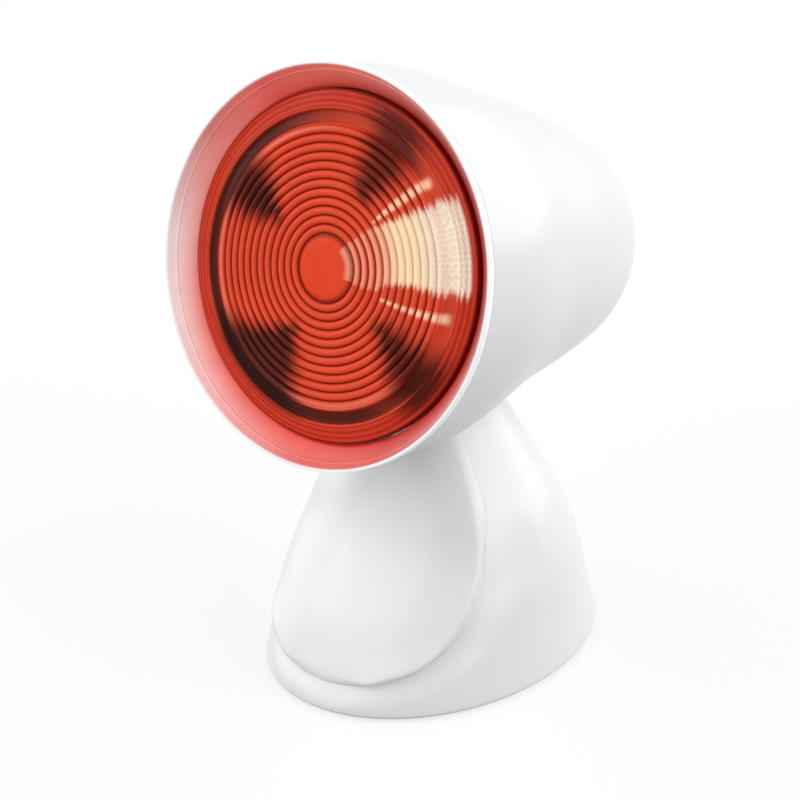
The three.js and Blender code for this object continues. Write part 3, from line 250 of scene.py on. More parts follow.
def base_place(points):
    return np.asarray(points, float) + np.array((0, BASE_BACK, 0))


def volume_inside(mesh):
    """The volume of a closed mesh in cubic metres, negative where its faces look inwards."""
    mesh.calc_loop_triangles()
    corners = np.empty(len(mesh.loop_triangles) * 3, np.int32)
    mesh.loop_triangles.foreach_get("vertices", corners)
    places = np.empty(len(mesh.vertices) * 3, np.float32)
    mesh.vertices.foreach_get("co", places)
    first, second, third = places.reshape(-1, 3)[corners.reshape(-1, 3)].astype(float).transpose(1, 0, 2)
    return (first * np.cross(second, third)).sum() / 6


def mesh_piece(name, points, faces, crease=math.radians(35)):
    """An object from points in millimetres, facing outwards, and smooth where faces meet below the crease."""
    mesh = bpy.data.meshes.new(name)
    mesh.from_pydata((np.asarray(points, float) * MM).tolist(), [], faces)
    mesh.validate()
    if volume_inside(mesh) < 0:
        mesh.flip_normals()
    piece = bpy.data.objects.new(name, mesh)
    bpy.context.scene.collection.objects.link(piece)
    return shaded(piece, crease)


def shaded(piece, crease=math.radians(35)):
    mesh = piece.data
    mesh.polygons.foreach_set("use_smooth", [True] * len(mesh.polygons))
    mesh.set_sharp_from_angle(angle=crease)
    mesh.update()
    return piece


def skin(rings, closed=False):
    """Points and faces of a skin over rings. A ring of one point is a pole; closed joins the last to the first."""
    points = np.concatenate(rings)
    starts = np.cumsum([0] + [len(ring) for ring in rings])
    faces = []
    pairs = list(zip(range(len(rings)), range(1, len(rings))))
    if closed:
        pairs.append((len(rings) - 1, 0))
    for low, high in pairs:
        count = max(len(rings[low]), len(rings[high]))
        for step in range(count):
            corners = []
            for ring, place in ((low, step), (low, step + 1), (high, step + 1), (high, step)):
                corner = int(starts[ring] + place % len(rings[ring]))
                if corner not in corners:
                    corners.append(corner)
            faces.append(corners)
    return points, faces


def capped(rings):
    """A skin over rings, closed at both ends by a point in the middle of the end ring."""
    return skin([rings[0].mean(0)[None], *rings, rings[-1].mean(0)[None]])


def turned(outline, steps, place):
    """Points and faces of an outline of (radius, station) turned about the Y axis, then placed."""
    angles = 2 * np.pi * np.arange(steps) / steps
    rings = []
    for radius, station in outline:
        if radius < ON_AXIS:
            rings.append(np.array([(0, station, 0)], float))
        else:
            ring = np.stack([radius * np.cos(angles), np.full(steps, station), radius * np.sin(angles)], -1)
            rings.append(ring)
    solid = outline[0][0] < ON_AXIS and outline[-1][0] < ON_AXIS
    points, faces = skin(rings, closed=not solid)
    return place(points), faces


def rounded(outline, radius, closed=True, steps=4):
    """An outline whose corners are rounded off, each by no more than a third of its shorter side."""
    outline = [np.array(point, float) for point in outline]
    count = len(outline)
    result = []
    for index, corner in enumerate(outline):
        if not closed and index in (0, count - 1):
            result.append(corner)
            continue
        before = outline[index - 1] - corner
        after = outline[(index + 1) % count] - corner
        reach = min(radius, np.linalg.norm(before) / 3, np.linalg.norm(after) / 3)
        start = corner + before / np.linalg.norm(before) * reach
        end = corner + after / np.linalg.norm(after) * reach
        for step in range(steps + 1):
            share = step / steps
            result.append(start * (1 - share) ** 2 + 2 * corner * share * (1 - share) + end * share ** 2)
    return result


def baked(piece):
    """Applies a piece's modifiers to its mesh."""
    graph = bpy.context.evaluated_depsgraph_get()
    mesh = bpy.data.meshes.new_from_object(piece.evaluated_get(graph))
    piece.modifiers.clear()
    piece.data = mesh
    return piece


def carve(piece, *tools):
    """Cuts the tools out of a piece and removes them."""
    for tool in tools:
        modifier = piece.modifiers.new("cut", "BOOLEAN")
        modifier.operation = "DIFFERENCE"
        modifier.solver = "EXACT"
        modifier.object = tool
        bpy.context.view_layer.update()
        baked(piece)
        bpy.data.objects.remove(tool)
    return shaded(piece)


def rounded_rectangle(half_width, half_height, corner, steps=12):
    """Points round a rounded rectangle, counterclockwise."""
    ring = []
    for quarter, (side, level) in enumerate([(1, 1), (-1, 1), (-1, -1), (1, -1)]):
        middle = np.array((side * (half_width - corner), level * (half_height - corner)))
        for step in range(steps + 1):
            angle = (quarter + step / steps) * np.pi / 2
            ring.append(middle + corner * np.array((math.cos(angle), math.sin(angle))))
    return np.array(ring)


def bar_rings(outline, low, high):
    """Two rings of an outline in XY at two heights."""
    return [np.column_stack([outline, np.full(len(outline), height)]) for height in (low, high)]


# Head


def head_ring(place, inset):
    """One section of the head, fuller above the lamp axis than below it."""
    station, radius_share, under_share = along(HEAD_SHARES, place)
    depth = station * (HEAD_LENGTH - inset)
    radius = RIM_RADIUS * radius_share - inset
    under = RIM_RADIUS * under_share - inset
    angles = 2 * np.pi * np.arange(HEAD_STEPS) / HEAD_STEPS
    up = np.sin(angles) * np.where(np.sin(angles) > 0, radius, under)
    ring = np.stack([radius * np.cos(angles), np.full(HEAD_STEPS, depth), up + HEAD_RISE * station ** 2], -1)
    return axis_place(ring)


def head_pole(inset):
    return axis_place([(0, HEAD_LENGTH - inset, HEAD_RISE)])


def head_rings(inset, rows):
    """Sections from the seat of the lip to just ahead of the rear pole."""
    places = np.linspace(0, 1, HEAD_READINGS)
    stations, radii, _ = along(HEAD_SHARES, places).T
    first = np.interp(LIP_DEPTH + SEAT_GAP, stations * (HEAD_LENGTH - inset), places)
    inner_end = np.interp(RIM_RADIUS * INNER_POLE_SHARE + inset, (radii * RIM_RADIUS)[::-1], places[::-1])
    return [head_ring(place, inset) for place in np.linspace(first, inner_end, rows)]


def head_shell():
    outer = head_rings(0, HEAD_ROWS)
    inner = head_rings(SHELL_WALL, HEAD_ROWS // 2)
    points, faces = skin([head_pole(0), *outer[::-1], *inner, head_pole(SHELL_WALL)])
    shell = mesh_piece("shell_moulding", points, faces)
    return carve(shell, neck_slot(), *vents())


def neck_slot():
    half = (SLOT_AHEAD + SLOT_BACK) / 2
    outline = rounded_rectangle(SLOT_HALF_WIDTH, half, SLOT_CORNER) + np.array((0, SLOT_BACK - half))
    points, faces = capped(bar_rings(outline, -RIM_RADIUS, SLOT_TOP))
    return mesh_piece("slot_tool", head_place(points), faces)


def vents():
    tools = []
    for index in range(VENT_COUNT):
        height = AXIS_ABOVE + HEAD_RISE + (index - (VENT_COUNT - 1) / 2) * VENT_PITCH
        half_height = VENT_HEIGHT / 2
        outline = rounded_rectangle(VENT_WIDTH / 2, half_height, half_height - VENT_ROUND_SPARE, VENT_STEPS)
        rings = [
            np.column_stack([outline[:, 0], np.full(len(outline), depth), height + outline[:, 1]])
            for depth in (HEAD_LENGTH - RIM_AHEAD - VENT_DEPTH, HEAD_LENGTH)
        ]
        points, faces = capped(rings)
        tools.append(mesh_piece(f"vent_tool_{index}", head_place(points), faces))
    return tools


def funnel_rows(radius, station):
    """Rows down the funnel, which is a little hollow between the lip and the lens."""
    rows = []
    for share in np.linspace(0, 1, FUNNEL_STEPS):
        hollow = 4 * share * (1 - share) * FUNNEL_HOLLOW
        across = radius + (FUNNEL_RADIUS + LIP_ROUND - radius) * share
        rows.append((across + hollow, station + (FUNNEL_DEPTH - LIP_ROUND - station) * share + hollow))
    return rows


def inner_shade():
    inside = LIP_RADIUS - LIP_THICKNESS
    spigot = RIM_RADIUS - SHELL_WALL - 2 * SEAT_GAP
    end = FUNNEL_DEPTH + SKIRT_LENGTH
    outline = rounded([
        (LIP_RADIUS, LIP_DEPTH),
        (LIP_RADIUS, 0),
        (inside, 0),
        *funnel_rows(inside - LIP_ROUND, LIP_ROUND * 2),
        (FUNNEL_RADIUS, end),
        (FUNNEL_RADIUS + SHADE_WALL, end),
        (FUNNEL_RADIUS + SHADE_WALL, FUNNEL_DEPTH + SEAT_GAP),
        (spigot - SHADE_WALL, LIP_DEPTH + 2 * SHADE_WALL),
        (spigot - SHADE_WALL, LIP_DEPTH + SPIGOT_LENGTH),
        (spigot, LIP_DEPTH + SPIGOT_LENGTH),
        (spigot, LIP_DEPTH),
    ], LIP_ROUND)
    points, faces = turned(outline, LENS_STEPS, axis_place)
    piece = mesh_piece("shade_moulding", points, faces)
    radii = np.array([radius for radius, _ in outline]).repeat(LENS_STEPS)
    angles = np.tile(360 * np.arange(LENS_STEPS) / LENS_STEPS, len(outline))
    add_tint(piece, shade_painted_light(radii, (angles + 180) % 360 - 180))
    return piece


# Painted red light and reflection of the bulb on the white shade, darker towards the top right where painted shade
# falls: angle, then the colour beside the lens and the colour beside the lip
PAINTED_BULB_LIGHT_ROWS = [
    (-180, (246, 158, 150), (238, 222, 221)),
    (-150, (245, 122, 112), (243, 214, 211)),
    (-120, (240, 96, 87), (240, 176, 172)),
    (-90, (226, 70, 62), (222, 112, 108)),
    (-60, (194, 42, 32), (208, 106, 102)),
    (0, (154, 26, 14), (214, 170, 166)),
    (60, (150, 26, 14), (214, 146, 140)),
    (95, (206, 66, 54), (248, 136, 120)),
    (120, (232, 84, 74), (238, 112, 104)),
    (145, (244, 132, 122), (226, 136, 130)),
    (180, (246, 158, 150), (238, 222, 221)),
]


def shade_painted_light(radii, angles):
    """White plastic with painted red light and reflection of the bulb, most of all near the lens and under it, and
    painted shade towards its top right.
    """
    turns = [row[0] for row in PAINTED_BULB_LIGHT_ROWS]
    beside = [np.array([tone(*row[place]) for row in PAINTED_BULB_LIGHT_ROWS]) for place in (1, 2)]
    near, far = (
        np.stack([np.interp(angles, turns, colours[:, band]) for band in range(3)], -1)
        for colours in beside
    )
    inside = LIP_RADIUS - LIP_THICKNESS
    outward = smooth_step(radii, FUNNEL_RADIUS, inside)[:, None]
    tint_and_painted_light = near * (1 - outward) + far * outward
    before, after = LIP_FADE
    return blended(tint_and_painted_light, tone(*LIP_WHITE), smooth_step(radii, inside - before, inside + after))


def add_tint(piece, colours):
    """Keeps a colour, painted light included, at each point of the mesh, for its material."""
    attribute = piece.data.color_attributes.new("tint_and_painted_light", "FLOAT_COLOR", "POINT")
    values = np.column_stack([colours, np.ones(len(colours))])
    attribute.data.foreach_set("color", values.astype(np.float32).ravel())


def lens_face(radius):
    return LENS_BEHIND_RIM - DOME_HEIGHT * (1 - (radius / LENS_RADIUS) ** DOME_POWER)


def lens_rows():
    """Rows of radius, station and groove share over the face of the lens."""
    rows = [(radius, lens_face(radius), 0) for radius in np.linspace(0, DISC_RADIUS, DISC_ROWS)[:-1]]
    pitch = (RIB_REACH - DISC_RADIUS) / RIB_COUNT
    for step in range(RIB_COUNT * RIB_ROWS):
        radius = DISC_RADIUS + pitch * step / RIB_ROWS
        across = abs(2 * ((step / RIB_ROWS) % 1) - 1)
        rows.append((radius, lens_face(radius) + RIB_GROOVE * across ** 2, across ** 3))
    flange = LENS_RADIUS - FLANGE_WIDTH
    rim = rounded([
        (RIB_REACH, lens_face(RIB_REACH)),
        (RIB_REACH + FLANGE_ROUND, lens_face(RIB_REACH) + CHANNEL_DEPTH),
        (flange - FLANGE_ROUND, lens_face(flange) + CHANNEL_DEPTH),
        *((radius, lens_face(radius)) for radius in np.linspace(flange, LENS_RADIUS, FLANGE_ROWS)),
        (LENS_RADIUS, SEAL_DEPTH),
        (flange, SEAL_DEPTH),
        (RIB_REACH, lens_face(RIB_REACH) + LENS_WALL),
        (RIB_REACH / 2, lens_face(RIB_REACH / 2) + LENS_WALL),
        (0, lens_face(0) + LENS_WALL),
    ], FLANGE_ROUND, closed=False)
    rows.extend((radius, station, 0) for radius, station in rim)
    return rows


def bulb_lens():
    rows = lens_rows()
    points, faces = turned([row[:2] for row in rows], LENS_STEPS, axis_place)
    piece = mesh_piece("lens_glass", points, faces, crease=math.radians(60))
    steps = [1 if row[0] < ON_AXIS else LENS_STEPS for row in rows]
    radii = np.repeat([row[0] for row in rows], steps)
    grooves = np.repeat([row[2] for row in rows], steps)
    angles = np.concatenate([360 * np.arange(count) / LENS_STEPS for count in steps])
    add_tint(piece, lens_tint_and_painted_light(radii, (angles + 180) % 360 - 180, grooves))
    return piece


def tone(red, green, blue):
    """A colour written in screen values of 0 to 255, as linear light."""
    share = np.array((red, green, blue)) / 255
    return np.where(share <= 0.04045, share / 12.92, ((share + 0.055) / 1.055) ** 2.4)


def blended(tint_and_painted_light, colour, share):
    return tint_and_painted_light + (colour - tint_and_painted_light) * share[:, None]


def patch(radii, angles, rows, soft_angle, soft_radius):
    """1 inside a wedge given as rows of radius, first angle and last angle, fading to 0 outside it."""
    rows = np.array(rows, float)
    first = np.interp(radii, rows[:, 0], rows[:, 1])
    last = np.interp(radii, rows[:, 0], rows[:, 2])
    turned_in = smooth_step(angles, first - soft_angle, first + soft_angle)
    turned_out = 1 - smooth_step(angles, last - soft_angle, last + soft_angle)
    return turned_in * turned_out * window(radii, rows[0, 0], rows[-1, 0], soft_radius)


# Screen values of 0 to 255
LIP_WHITE = (240, 240, 241)
DISC_RED = (229, 70, 36)
CROWN_RED = (230, 78, 48)
# The groove red is painted shade in the grooves of the ribs.
GROOVE_SHADE_RED = (104, 10, 2)
# Painted shade at the top of the lens.
PAINTED_SHADE_RED = (170, 44, 24)
# Painted shade in the channel round the ribs.
CHANNEL_SHADE_DARK = (46, 14, 12)
FLANGE_RED = (204, 56, 34)
FLANGE_LINE_RED = (120, 16, 6)
EDGE_RED = (110, 18, 10)
# A painted pink glint along the outer rib.
RING_GLINT_PINK = (232, 132, 112)
# Painted dark reflections on the lens.
REFLECTION_DARK = (26, 4, 2)
# The cream colours are a painted highlight on the lens.
HIGHLIGHT_PINK = (250, 160, 132)
HIGHLIGHT_CREAM = (255, 226, 184)
HIGHLIGHT_PALE = (255, 244, 222)
STREAK_HIGHLIGHT = (255, 206, 170)
# Painted dark reflections on the lens: depth of each patch, then its rows of radius, first angle and last angle
DARK_REFLECTIONS = [
    (1.0, [(25, -118, -110), (30, -128, -106), (37, -138, -103), (44, -146, -100), (52, -150, -97)]),
    (0.97, [(29, -36, -27), (36, -42, -24), (46, -46, -22), (57, -47, -22)]),
    (0.92, [(30, 58, 73), (38, 54, 77), (50, 54, 79), (57, 56, 80)]),
    (1.0, [(27, 145, 155), (33, 138, 160), (40, 135, 163), (47, 138, 165)]),
]
# Painted highlight wedge on the lens: rows of radius, first angle and last angle
HIGHLIGHT_WEDGE = [
    (10, -13, 52), (16, -12, 48), (22, -9, 46), (26, -1, 43), (34, 2, 39), (46, 1, 36), (57.5, 2, 34),
]
# Painted highlight streaks on the lens: rows of radius, first angle and last angle
HIGHLIGHT_STREAKS = [
    [(27, 46, 48), (36, 44, 48), (50, 42.5, 46)],
    [(26, -14, -12), (40, -12, -9), (51, -10, -6.5)],
]
# Softness of the edges: along the turn in degrees, and along the radius in millimetres
PATCH_SOFTNESS = (8, 5)
WEDGE_SOFTNESS = (2, 1.5)
STREAK_SOFTNESS = (1.2, 2)
# Waves that make the patches' sides uneven: reach in degrees, rate and shift along the radius
PATCH_WAVES = [(2.6, 2.3, 0), (1.6, 0.9, 1)]
PATCH_CROWN_SHARE = 0.12
WEDGE_WAVE = (1.2, 3.1)
STREAK_CROWNS = (0.5, 0.95)
# Painted shade: the lens is a little darker at its top, and its channel darker away from the light
PAINTED_SHADE_TURN = 95
PAINTED_SHADE_REACH = (60, 10)
PAINTED_SHADE_RADII = (20, 60)
PAINTED_SHADE_SHARE = 0.2
LIT_TURN = 30
LIT_REACH = (45, 100)
CHANNEL_MARGINS = (1, 0.6)
CHANNEL_FADE = 0.9
CHANNEL_SHARES = (0.25, 0.67)
FLANGE_FADE = 0.8
FLANGE_SHARE = 0.8
FLANGE_LINE_SHARE = 0.5
EDGE_WIDTH = 1.2
BRIGHT_RING = (1.6, 0.5)
BRIGHT_RING_FADE = 0.6
BRIGHT_RING_SHARE = 0.6
# The painted highlight wedge: radii over which it turns pale, its shares near and far from the disc, and its
# speckle
PALE_RADII = (20, 33)
PALER_RADII = (36, 50)
NEAR_SHARES = (0.04, 0.8)
NEAR_POWER = 6
FAR_SHARES = (0.6, 0.4)
SPECKLE_TURNS = (97, 53)
SPECKLE_RATE = 2.1
SPECKLE_SHARE = 0.35
WEDGE_LINE_SHARE = 0.3


def lens_tint_and_painted_light(radii, angles, grooves):
    """Red ribs, with painted dark reflections and a painted cream highlight wedge and streaks, as if seen in the
    mirror behind them.
    """
    crown = 1 - grooves
    flange = smooth_step(radii, LENS_RADIUS - FLANGE_WIDTH, LENS_RADIUS - FLANGE_WIDTH + FLANGE_FADE)
    lines = flange * (0.5 + 0.5 * np.cos(2 * np.pi * (radii - LENS_RADIUS) / RIPPLE_PITCH))
    tint_and_painted_light = ring_tint_and_painted_light(radii, angles, grooves, flange, lines)
    uneven = angles
    for reach, rate, shift in PATCH_WAVES:
        uneven = uneven + reach * np.sin(rate * radii + shift)
    for depth, rows in DARK_REFLECTIONS:
        dark_reflection = patch(radii, uneven, rows, *PATCH_SOFTNESS)
        tint_and_painted_light = blended(tint_and_painted_light, tone(*REFLECTION_DARK), depth * dark_reflection * (1 - PATCH_CROWN_SHARE * crown))
    tint_and_painted_light = painted_highlight_wedge(tint_and_painted_light, radii, angles, crown, lines)
    for rows in HIGHLIGHT_STREAKS:
        streak = patch(radii, angles, rows, *STREAK_SOFTNESS)
        tint_and_painted_light = blended(tint_and_painted_light, tone(*STREAK_HIGHLIGHT), streak * smooth_step(crown, *STREAK_CROWNS))
    return tint_and_painted_light


def ring_tint_and_painted_light(radii, angles, grooves, flange, lines):
    """The reds of the disc, ribs, channel, flange and edge, with painted shade in the grooves, at the top and in
    the channel away from the light, and a painted glint along the outer rib.
    """
    crown = 1 - grooves
    tint_and_painted_light = np.tile(tone(*DISC_RED), (len(radii), 1))
    tint_and_painted_light = blended(tint_and_painted_light, tone(*CROWN_RED), crown * smooth_step(radii, DISC_RADIUS - 1, DISC_RADIUS + 1))
    tint_and_painted_light = blended(tint_and_painted_light, tone(*GROOVE_SHADE_RED), grooves)
    shade = smooth_step(np.abs(angles - PAINTED_SHADE_TURN), *PAINTED_SHADE_REACH) * smooth_step(radii, *PAINTED_SHADE_RADII)
    tint_and_painted_light = blended(tint_and_painted_light, tone(*PAINTED_SHADE_RED), PAINTED_SHADE_SHARE * shade)
    away = smooth_step(np.abs((angles - LIT_TURN + 180) % 360 - 180), *LIT_REACH)
    inner, outer = CHANNEL_MARGINS
    channel = window(radii, RIB_REACH + inner, LENS_RADIUS - FLANGE_WIDTH - outer, CHANNEL_FADE)
    lit_share, away_share = CHANNEL_SHARES
    tint_and_painted_light = blended(tint_and_painted_light, tone(*CHANNEL_SHADE_DARK), channel * (lit_share + away_share * away))
    tint_and_painted_light = blended(tint_and_painted_light, tone(*FLANGE_RED), FLANGE_SHARE * flange)
    tint_and_painted_light = blended(tint_and_painted_light, tone(*FLANGE_LINE_RED), FLANGE_LINE_SHARE * lines)
    tint_and_painted_light = blended(tint_and_painted_light, tone(*EDGE_RED), smooth_step(radii, LENS_RADIUS - EDGE_WIDTH, LENS_RADIUS))
    inner, outer = BRIGHT_RING
    bright_ring = window(radii, RIB_REACH - inner, RIB_REACH - outer, BRIGHT_RING_FADE)
    return blended(tint_and_painted_light, tone(*RING_GLINT_PINK), BRIGHT_RING_SHARE * bright_ring * away)


def painted_highlight_wedge(tint_and_painted_light, radii, angles, crown, lines):
    """Adds the painted highlight wedge, which shows on the crowns near the disc and is speckled towards the edge.
    """
    reach, rate = WEDGE_WAVE
    wedge = patch(radii, angles + reach * np.sin(rate * radii), HIGHLIGHT_WEDGE, *WEDGE_SOFTNESS)
    pale = smooth_step(radii, *PALE_RADII)
    paler = smooth_step(radii, *PALER_RADII)
    highlight_colour = tone(*HIGHLIGHT_PINK) + (tone(*HIGHLIGHT_CREAM) - tone(*HIGHLIGHT_PINK)) * pale[:, None]
    highlight_colour = blended(highlight_colour, tone(*HIGHLIGHT_PALE), paler)
    near = NEAR_SHARES[0] + NEAR_SHARES[1] * crown ** NEAR_POWER
    far = FAR_SHARES[0] + FAR_SHARES[1] * crown
    first, second = (np.radians(turn * angles) for turn in SPECKLE_TURNS)
    speckle = np.abs(np.sin(first) * np.sin(second + SPECKLE_RATE * radii))
    share = wedge * ((1 - pale) * near + pale * far)
    return blended(tint_and_painted_light, highlight_colour, share * (1 - SPECKLE_SHARE * paler * speckle) * (1 - WEDGE_LINE_SHARE * lines))


# Base


def hood_axes(height):
    spans = len(HOOD_SHARES) - 3
    width, depth = along(HOOD_SHARES, height / (HOOD_ROW_STEP * spans)).T
    return width * BASE_HALF_WIDTH, depth * BASE_HALF_DEPTH


def hood_dip(across, height):
    """How deep the hood is dished round the lower part of the panel."""
    spots = np.column_stack([across, np.full(len(across), height)])
    distance = np.linalg.norm(spots[:, None] - panel_outline(PANEL_TOP), axis=2).min(1)
    (foot, full), (shoulder, end) = DIP_HEIGHTS
    depth = DIP_DEPTH * smooth_step(height, foot, full) * (1 - smooth_step(height, shoulder, end))
    return depth * (1 - smooth_step(distance, 0, DIP_REACH))


def hood_ring(height, inset):
    half_width, half_depth = hood_axes(height)
    angles = 2 * np.pi * np.arange(HOOD_STEPS) / HOOD_STEPS
    inset = inset + hood_dip(half_width * np.cos(angles), height) * (np.sin(angles) < 0)
    ring = [
        (half_width - inset) * np.cos(angles),
        (half_depth - inset) * np.sin(angles),
        np.full(HOOD_STEPS, height),
    ]
    return base_place(np.stack(ring, -1))


def edge_steps(radius, steps=5):
    """Pairs of rise and inset round a quarter-round edge, from its end face to its side."""
    angles = np.linspace(0, np.pi / 2, steps)
    return [(radius * (1 - math.cos(angle)), radius * (1 - math.sin(angle))) for angle in angles]


def hood_shell():
    foot = [hood_ring(HOOD_BOTTOM + rise, inset) for rise, inset in edge_steps(HOOD_FOOT_ROUND)]
    heights = np.linspace(HOOD_BOTTOM + HOOD_FOOT_ROUND, HOOD_HEIGHT - HOOD_TOP_ROUND, HOOD_ROWS)[1:-1]
    wall = [hood_ring(height, 0) for height in heights]
    top = [hood_ring(HOOD_HEIGHT - rise, inset) for rise, inset in edge_steps(HOOD_TOP_ROUND)[::-1]]
    hood = mesh_piece("hood_moulding", *capped([*foot, *wall, *top]))
    inner_heights = np.linspace(-SHELL_WALL, SHELF_HEIGHT, HOOD_ROWS // 2)
    hollow = mesh_piece("hollow_tool", *capped([hood_ring(max(height, 0), SHELL_WALL) * (1, 1, 0)
                                                + (0, 0, height) for height in inner_heights]))
    carve(hollow, recess_tool("thick_recess_tool", SHELL_WALL))
    return carve(hood, recess_tool("recess_tool", 0), hollow, *switch_tools(), *gland_tools())


def switch_place(points):
    """Points round the switch, with +Z out of the hood, placed on the slope of its back."""
    reach = SWITCH_DEPTH / 2
    low, high = (float(hood_axes(SWITCH_HEIGHT + side * reach)[1]) for side in (-1, 1))
    lean = math.atan2(low - high, 2 * reach)
    across, down, out = np.asarray(points, float).T
    back = down * math.sin(lean) + out * math.cos(lean) + float(hood_axes(SWITCH_HEIGHT)[1])
    up = out * math.sin(lean) - down * math.cos(lean) + SWITCH_HEIGHT
    return base_place(np.stack([across, back, up], -1))


def switch_tools():
    """The seat of the switch's bezel and the hole for its body."""
    tools = []
    for name, inset, corner, low, high in (
        ("bezel_tool", -SEAT_GAP, BEZEL_CORNER, -BEZEL_THICKNESS - SEAT_GAP, CUT_OVER),
        ("body_tool", BEZEL_WALL - SEAT_GAP, BEZEL_WALL / 2, -SWITCH_BODY, 0),
    ):
        outline = rounded_rectangle(SWITCH_WIDTH / 2 - inset, SWITCH_DEPTH / 2 - inset, corner)
        points, faces = capped(bar_rings(outline, low, high))
        tools.append(mesh_piece(name, switch_place(points), faces))
    return tools


def gland_place(points):
    return base_place(points + np.array((0, 0, GLAND_HEIGHT)))


def gland_tools():
    """The seat of the gland's flange and the hole for its barrel."""
    face = float(hood_axes(GLAND_HEIGHT)[1]) + GLAND_FLANGE_DEPTH / 2
    back = face - GLAND_FLANGE_DEPTH - SEAT_GAP
    tools = []
    for name, radius, low, high in (
        ("flange_tool", GLAND_FLANGE + SEAT_GAP, back, face + CUT_OVER),
        ("barrel_tool", GLAND_RADIUS + SEAT_GAP, back - 2 * CUT_OVER, back + GLAND_OVERLAP),
    ):
        outline = [(0, low), (radius, low), (radius, high), (0, high)]
        points, faces = turned(outline, GLAND_STEPS, gland_place)
        tools.append(mesh_piece(name, points, faces))
    return tools


def panel_table():
    """Heights of the panel with its half width, edge depth and middle depth at each."""
    rows = along(PANEL_SHARES, np.linspace(0, 1, PANEL_READINGS))
    return rows * np.array((PANEL_TOP, PANEL_HALF_WIDTH, BASE_HALF_DEPTH, BASE_HALF_DEPTH))


def side_share(across, half):
    """0 on the middle line and 1 at the panel's side edges."""
    return np.clip(np.abs(across) / np.maximum(half, LEAST_HALF_WIDTH), 0, 1)


def panel_face(across, heights):
    """Depth of the panel's face at places across and up it."""
    table = panel_table()
    half, edge, middle = (np.interp(heights, table[:, 0], table[:, column]) for column in (1, 2, 3))
    return middle + (edge - middle) * side_share(across, half) ** PANEL_CURVE


def beside_edge(heights):
    """Half width and edge depth of the panel at heights, and the depth of the hood beside its edge."""
    table = panel_table()
    half, edge = (np.interp(heights, table[:, 0], table[:, column]) for column in (1, 2))
    half_width, half_depth = hood_axes(heights)
    return half, edge, -half_depth * np.sqrt(np.clip(1 - (half / half_width) ** 2, 0, 1))


def panel_back(across, heights):
    """Depth of the panel's inner face, which sinks at the sides as far as the hood falls away under them."""
    half, edge, hood = beside_edge(heights)
    sink = np.maximum(hood + PANEL_SINK - edge - PANEL_WALL, 0)
    return panel_face(across, heights) + PANEL_WALL + sink * side_share(across, half) ** SINK_POWER


def panel_drop(heights):
    """How far the panel's rounded edge falls, so that it ends a little inside the hood."""
    _, edge, hood = beside_edge(heights)
    return np.clip(hood - edge + 2 * PANEL_GAP, PANEL_ROUND / 3, PANEL_ROUND)


def panel_outline(top):
    """Even points round the drop, with its top cut at a height and its two corners rounded."""
    table = panel_table()
    side = table[:, 1::-1]
    side = side[side[:, 1] < PANEL_TOP - PANEL_CORNER]
    corner = np.array((side[-1, 0] - PANEL_DRAFT, top))
    if top > PANEL_TOP:
        side = np.vstack([side, (table[-1, 1], PANEL_TOP)])
        corner = np.array((table[-1, 1], top))
    inner = corner - (PANEL_CORNER, 0)
    bend = [
        side[-1] * (1 - t) ** 2 + 2 * corner * t * (1 - t) + inner * t ** 2
        for t in np.linspace(0, 1, PANEL_BEND_STEPS)[1:]
    ]
    right = np.vstack([side, bend])
    loop = np.vstack([right, (right * (-1, 1))[::-1], right[:1]])
    reach = np.concatenate([[0], np.cumsum(np.linalg.norm(np.diff(loop, axis=0), axis=1))])
    even = np.linspace(0, reach[-1], PANEL_POINTS, endpoint=False)
    return np.stack([np.interp(even, reach, loop[:, 0]), np.interp(even, reach, loop[:, 1])], -1)


def offset(outline, distance):
    """An outline moved outwards by a distance."""
    tangent = np.roll(outline, -1, 0) - np.roll(outline, 1, 0)
    tangent /= np.linalg.norm(tangent, axis=1)[:, None]
    return outline + distance * tangent[:, ::-1] * (1, -1)


def drop_rings(outline, depth):
    """Rings of the drop from its middle to an outline, at depths given by a function."""
    middle = np.array((0, PANEL_TOP * PANEL_MIDDLE))
    rings = []
    for share in np.linspace(0, 1, PANEL_RINGS):
        plan = middle + share * (outline - middle) if share > 0 else middle[None]
        rings.append(np.column_stack([plan[:, 0], depth(plan[:, 0], plan[:, 1]), plan[:, 1]]))
    return rings


def recess_tool(name, margin):
    """What the panel and its clearance take out of the hood, grown by a margin."""
    outline = offset(panel_outline(HOOD_HEIGHT + 3 * SHELL_WALL), PANEL_GAP + margin)
    back = drop_rings(outline, lambda x, z: panel_back(x, z) + SEAT_GAP + margin)
    front = drop_rings(outline, lambda x, z: np.full(len(x), -RECESS_REACH * BASE_HALF_DEPTH))
    points, faces = skin([*back, *front[::-1]])
    return mesh_piece(name, base_place(points), faces)


def front_panel():
    outline = panel_outline(PANEL_TOP)
    face = drop_rings(offset(outline, -PANEL_ROUND), panel_face)
    edge = []
    drop = panel_drop(outline[:, 1]) / PANEL_ROUND
    for rise, inset in edge_steps(PANEL_ROUND)[1:]:
        plan = offset(outline, -inset)
        depth = panel_face(plan[:, 0], plan[:, 1]) + rise * drop
        edge.append(np.column_stack([plan[:, 0], depth, plan[:, 1]]))
    back = drop_rings(outline, panel_back)
    points, faces = skin([*face, *edge, *back[::-1]])
    return mesh_piece("panel_moulding", base_place(points), faces)


# Materials

GRAIN_DEPTH = 0.0001
COAT_ROUGHNESS = 0.12
TINT_SCALE = 90
TINT_SPREAD = (0.9, 1.1)
GLOSS_SCALE = 300
WELD_DISTANCE = 0.001
BEVEL_SEGMENTS = 3


def material(name):
    """A new material with its node tree and its shader."""
    made = bpy.data.materials.new(name)
    made.use_nodes = True
    tree = made.node_tree
    return made, tree, tree.nodes["Principled BSDF"]


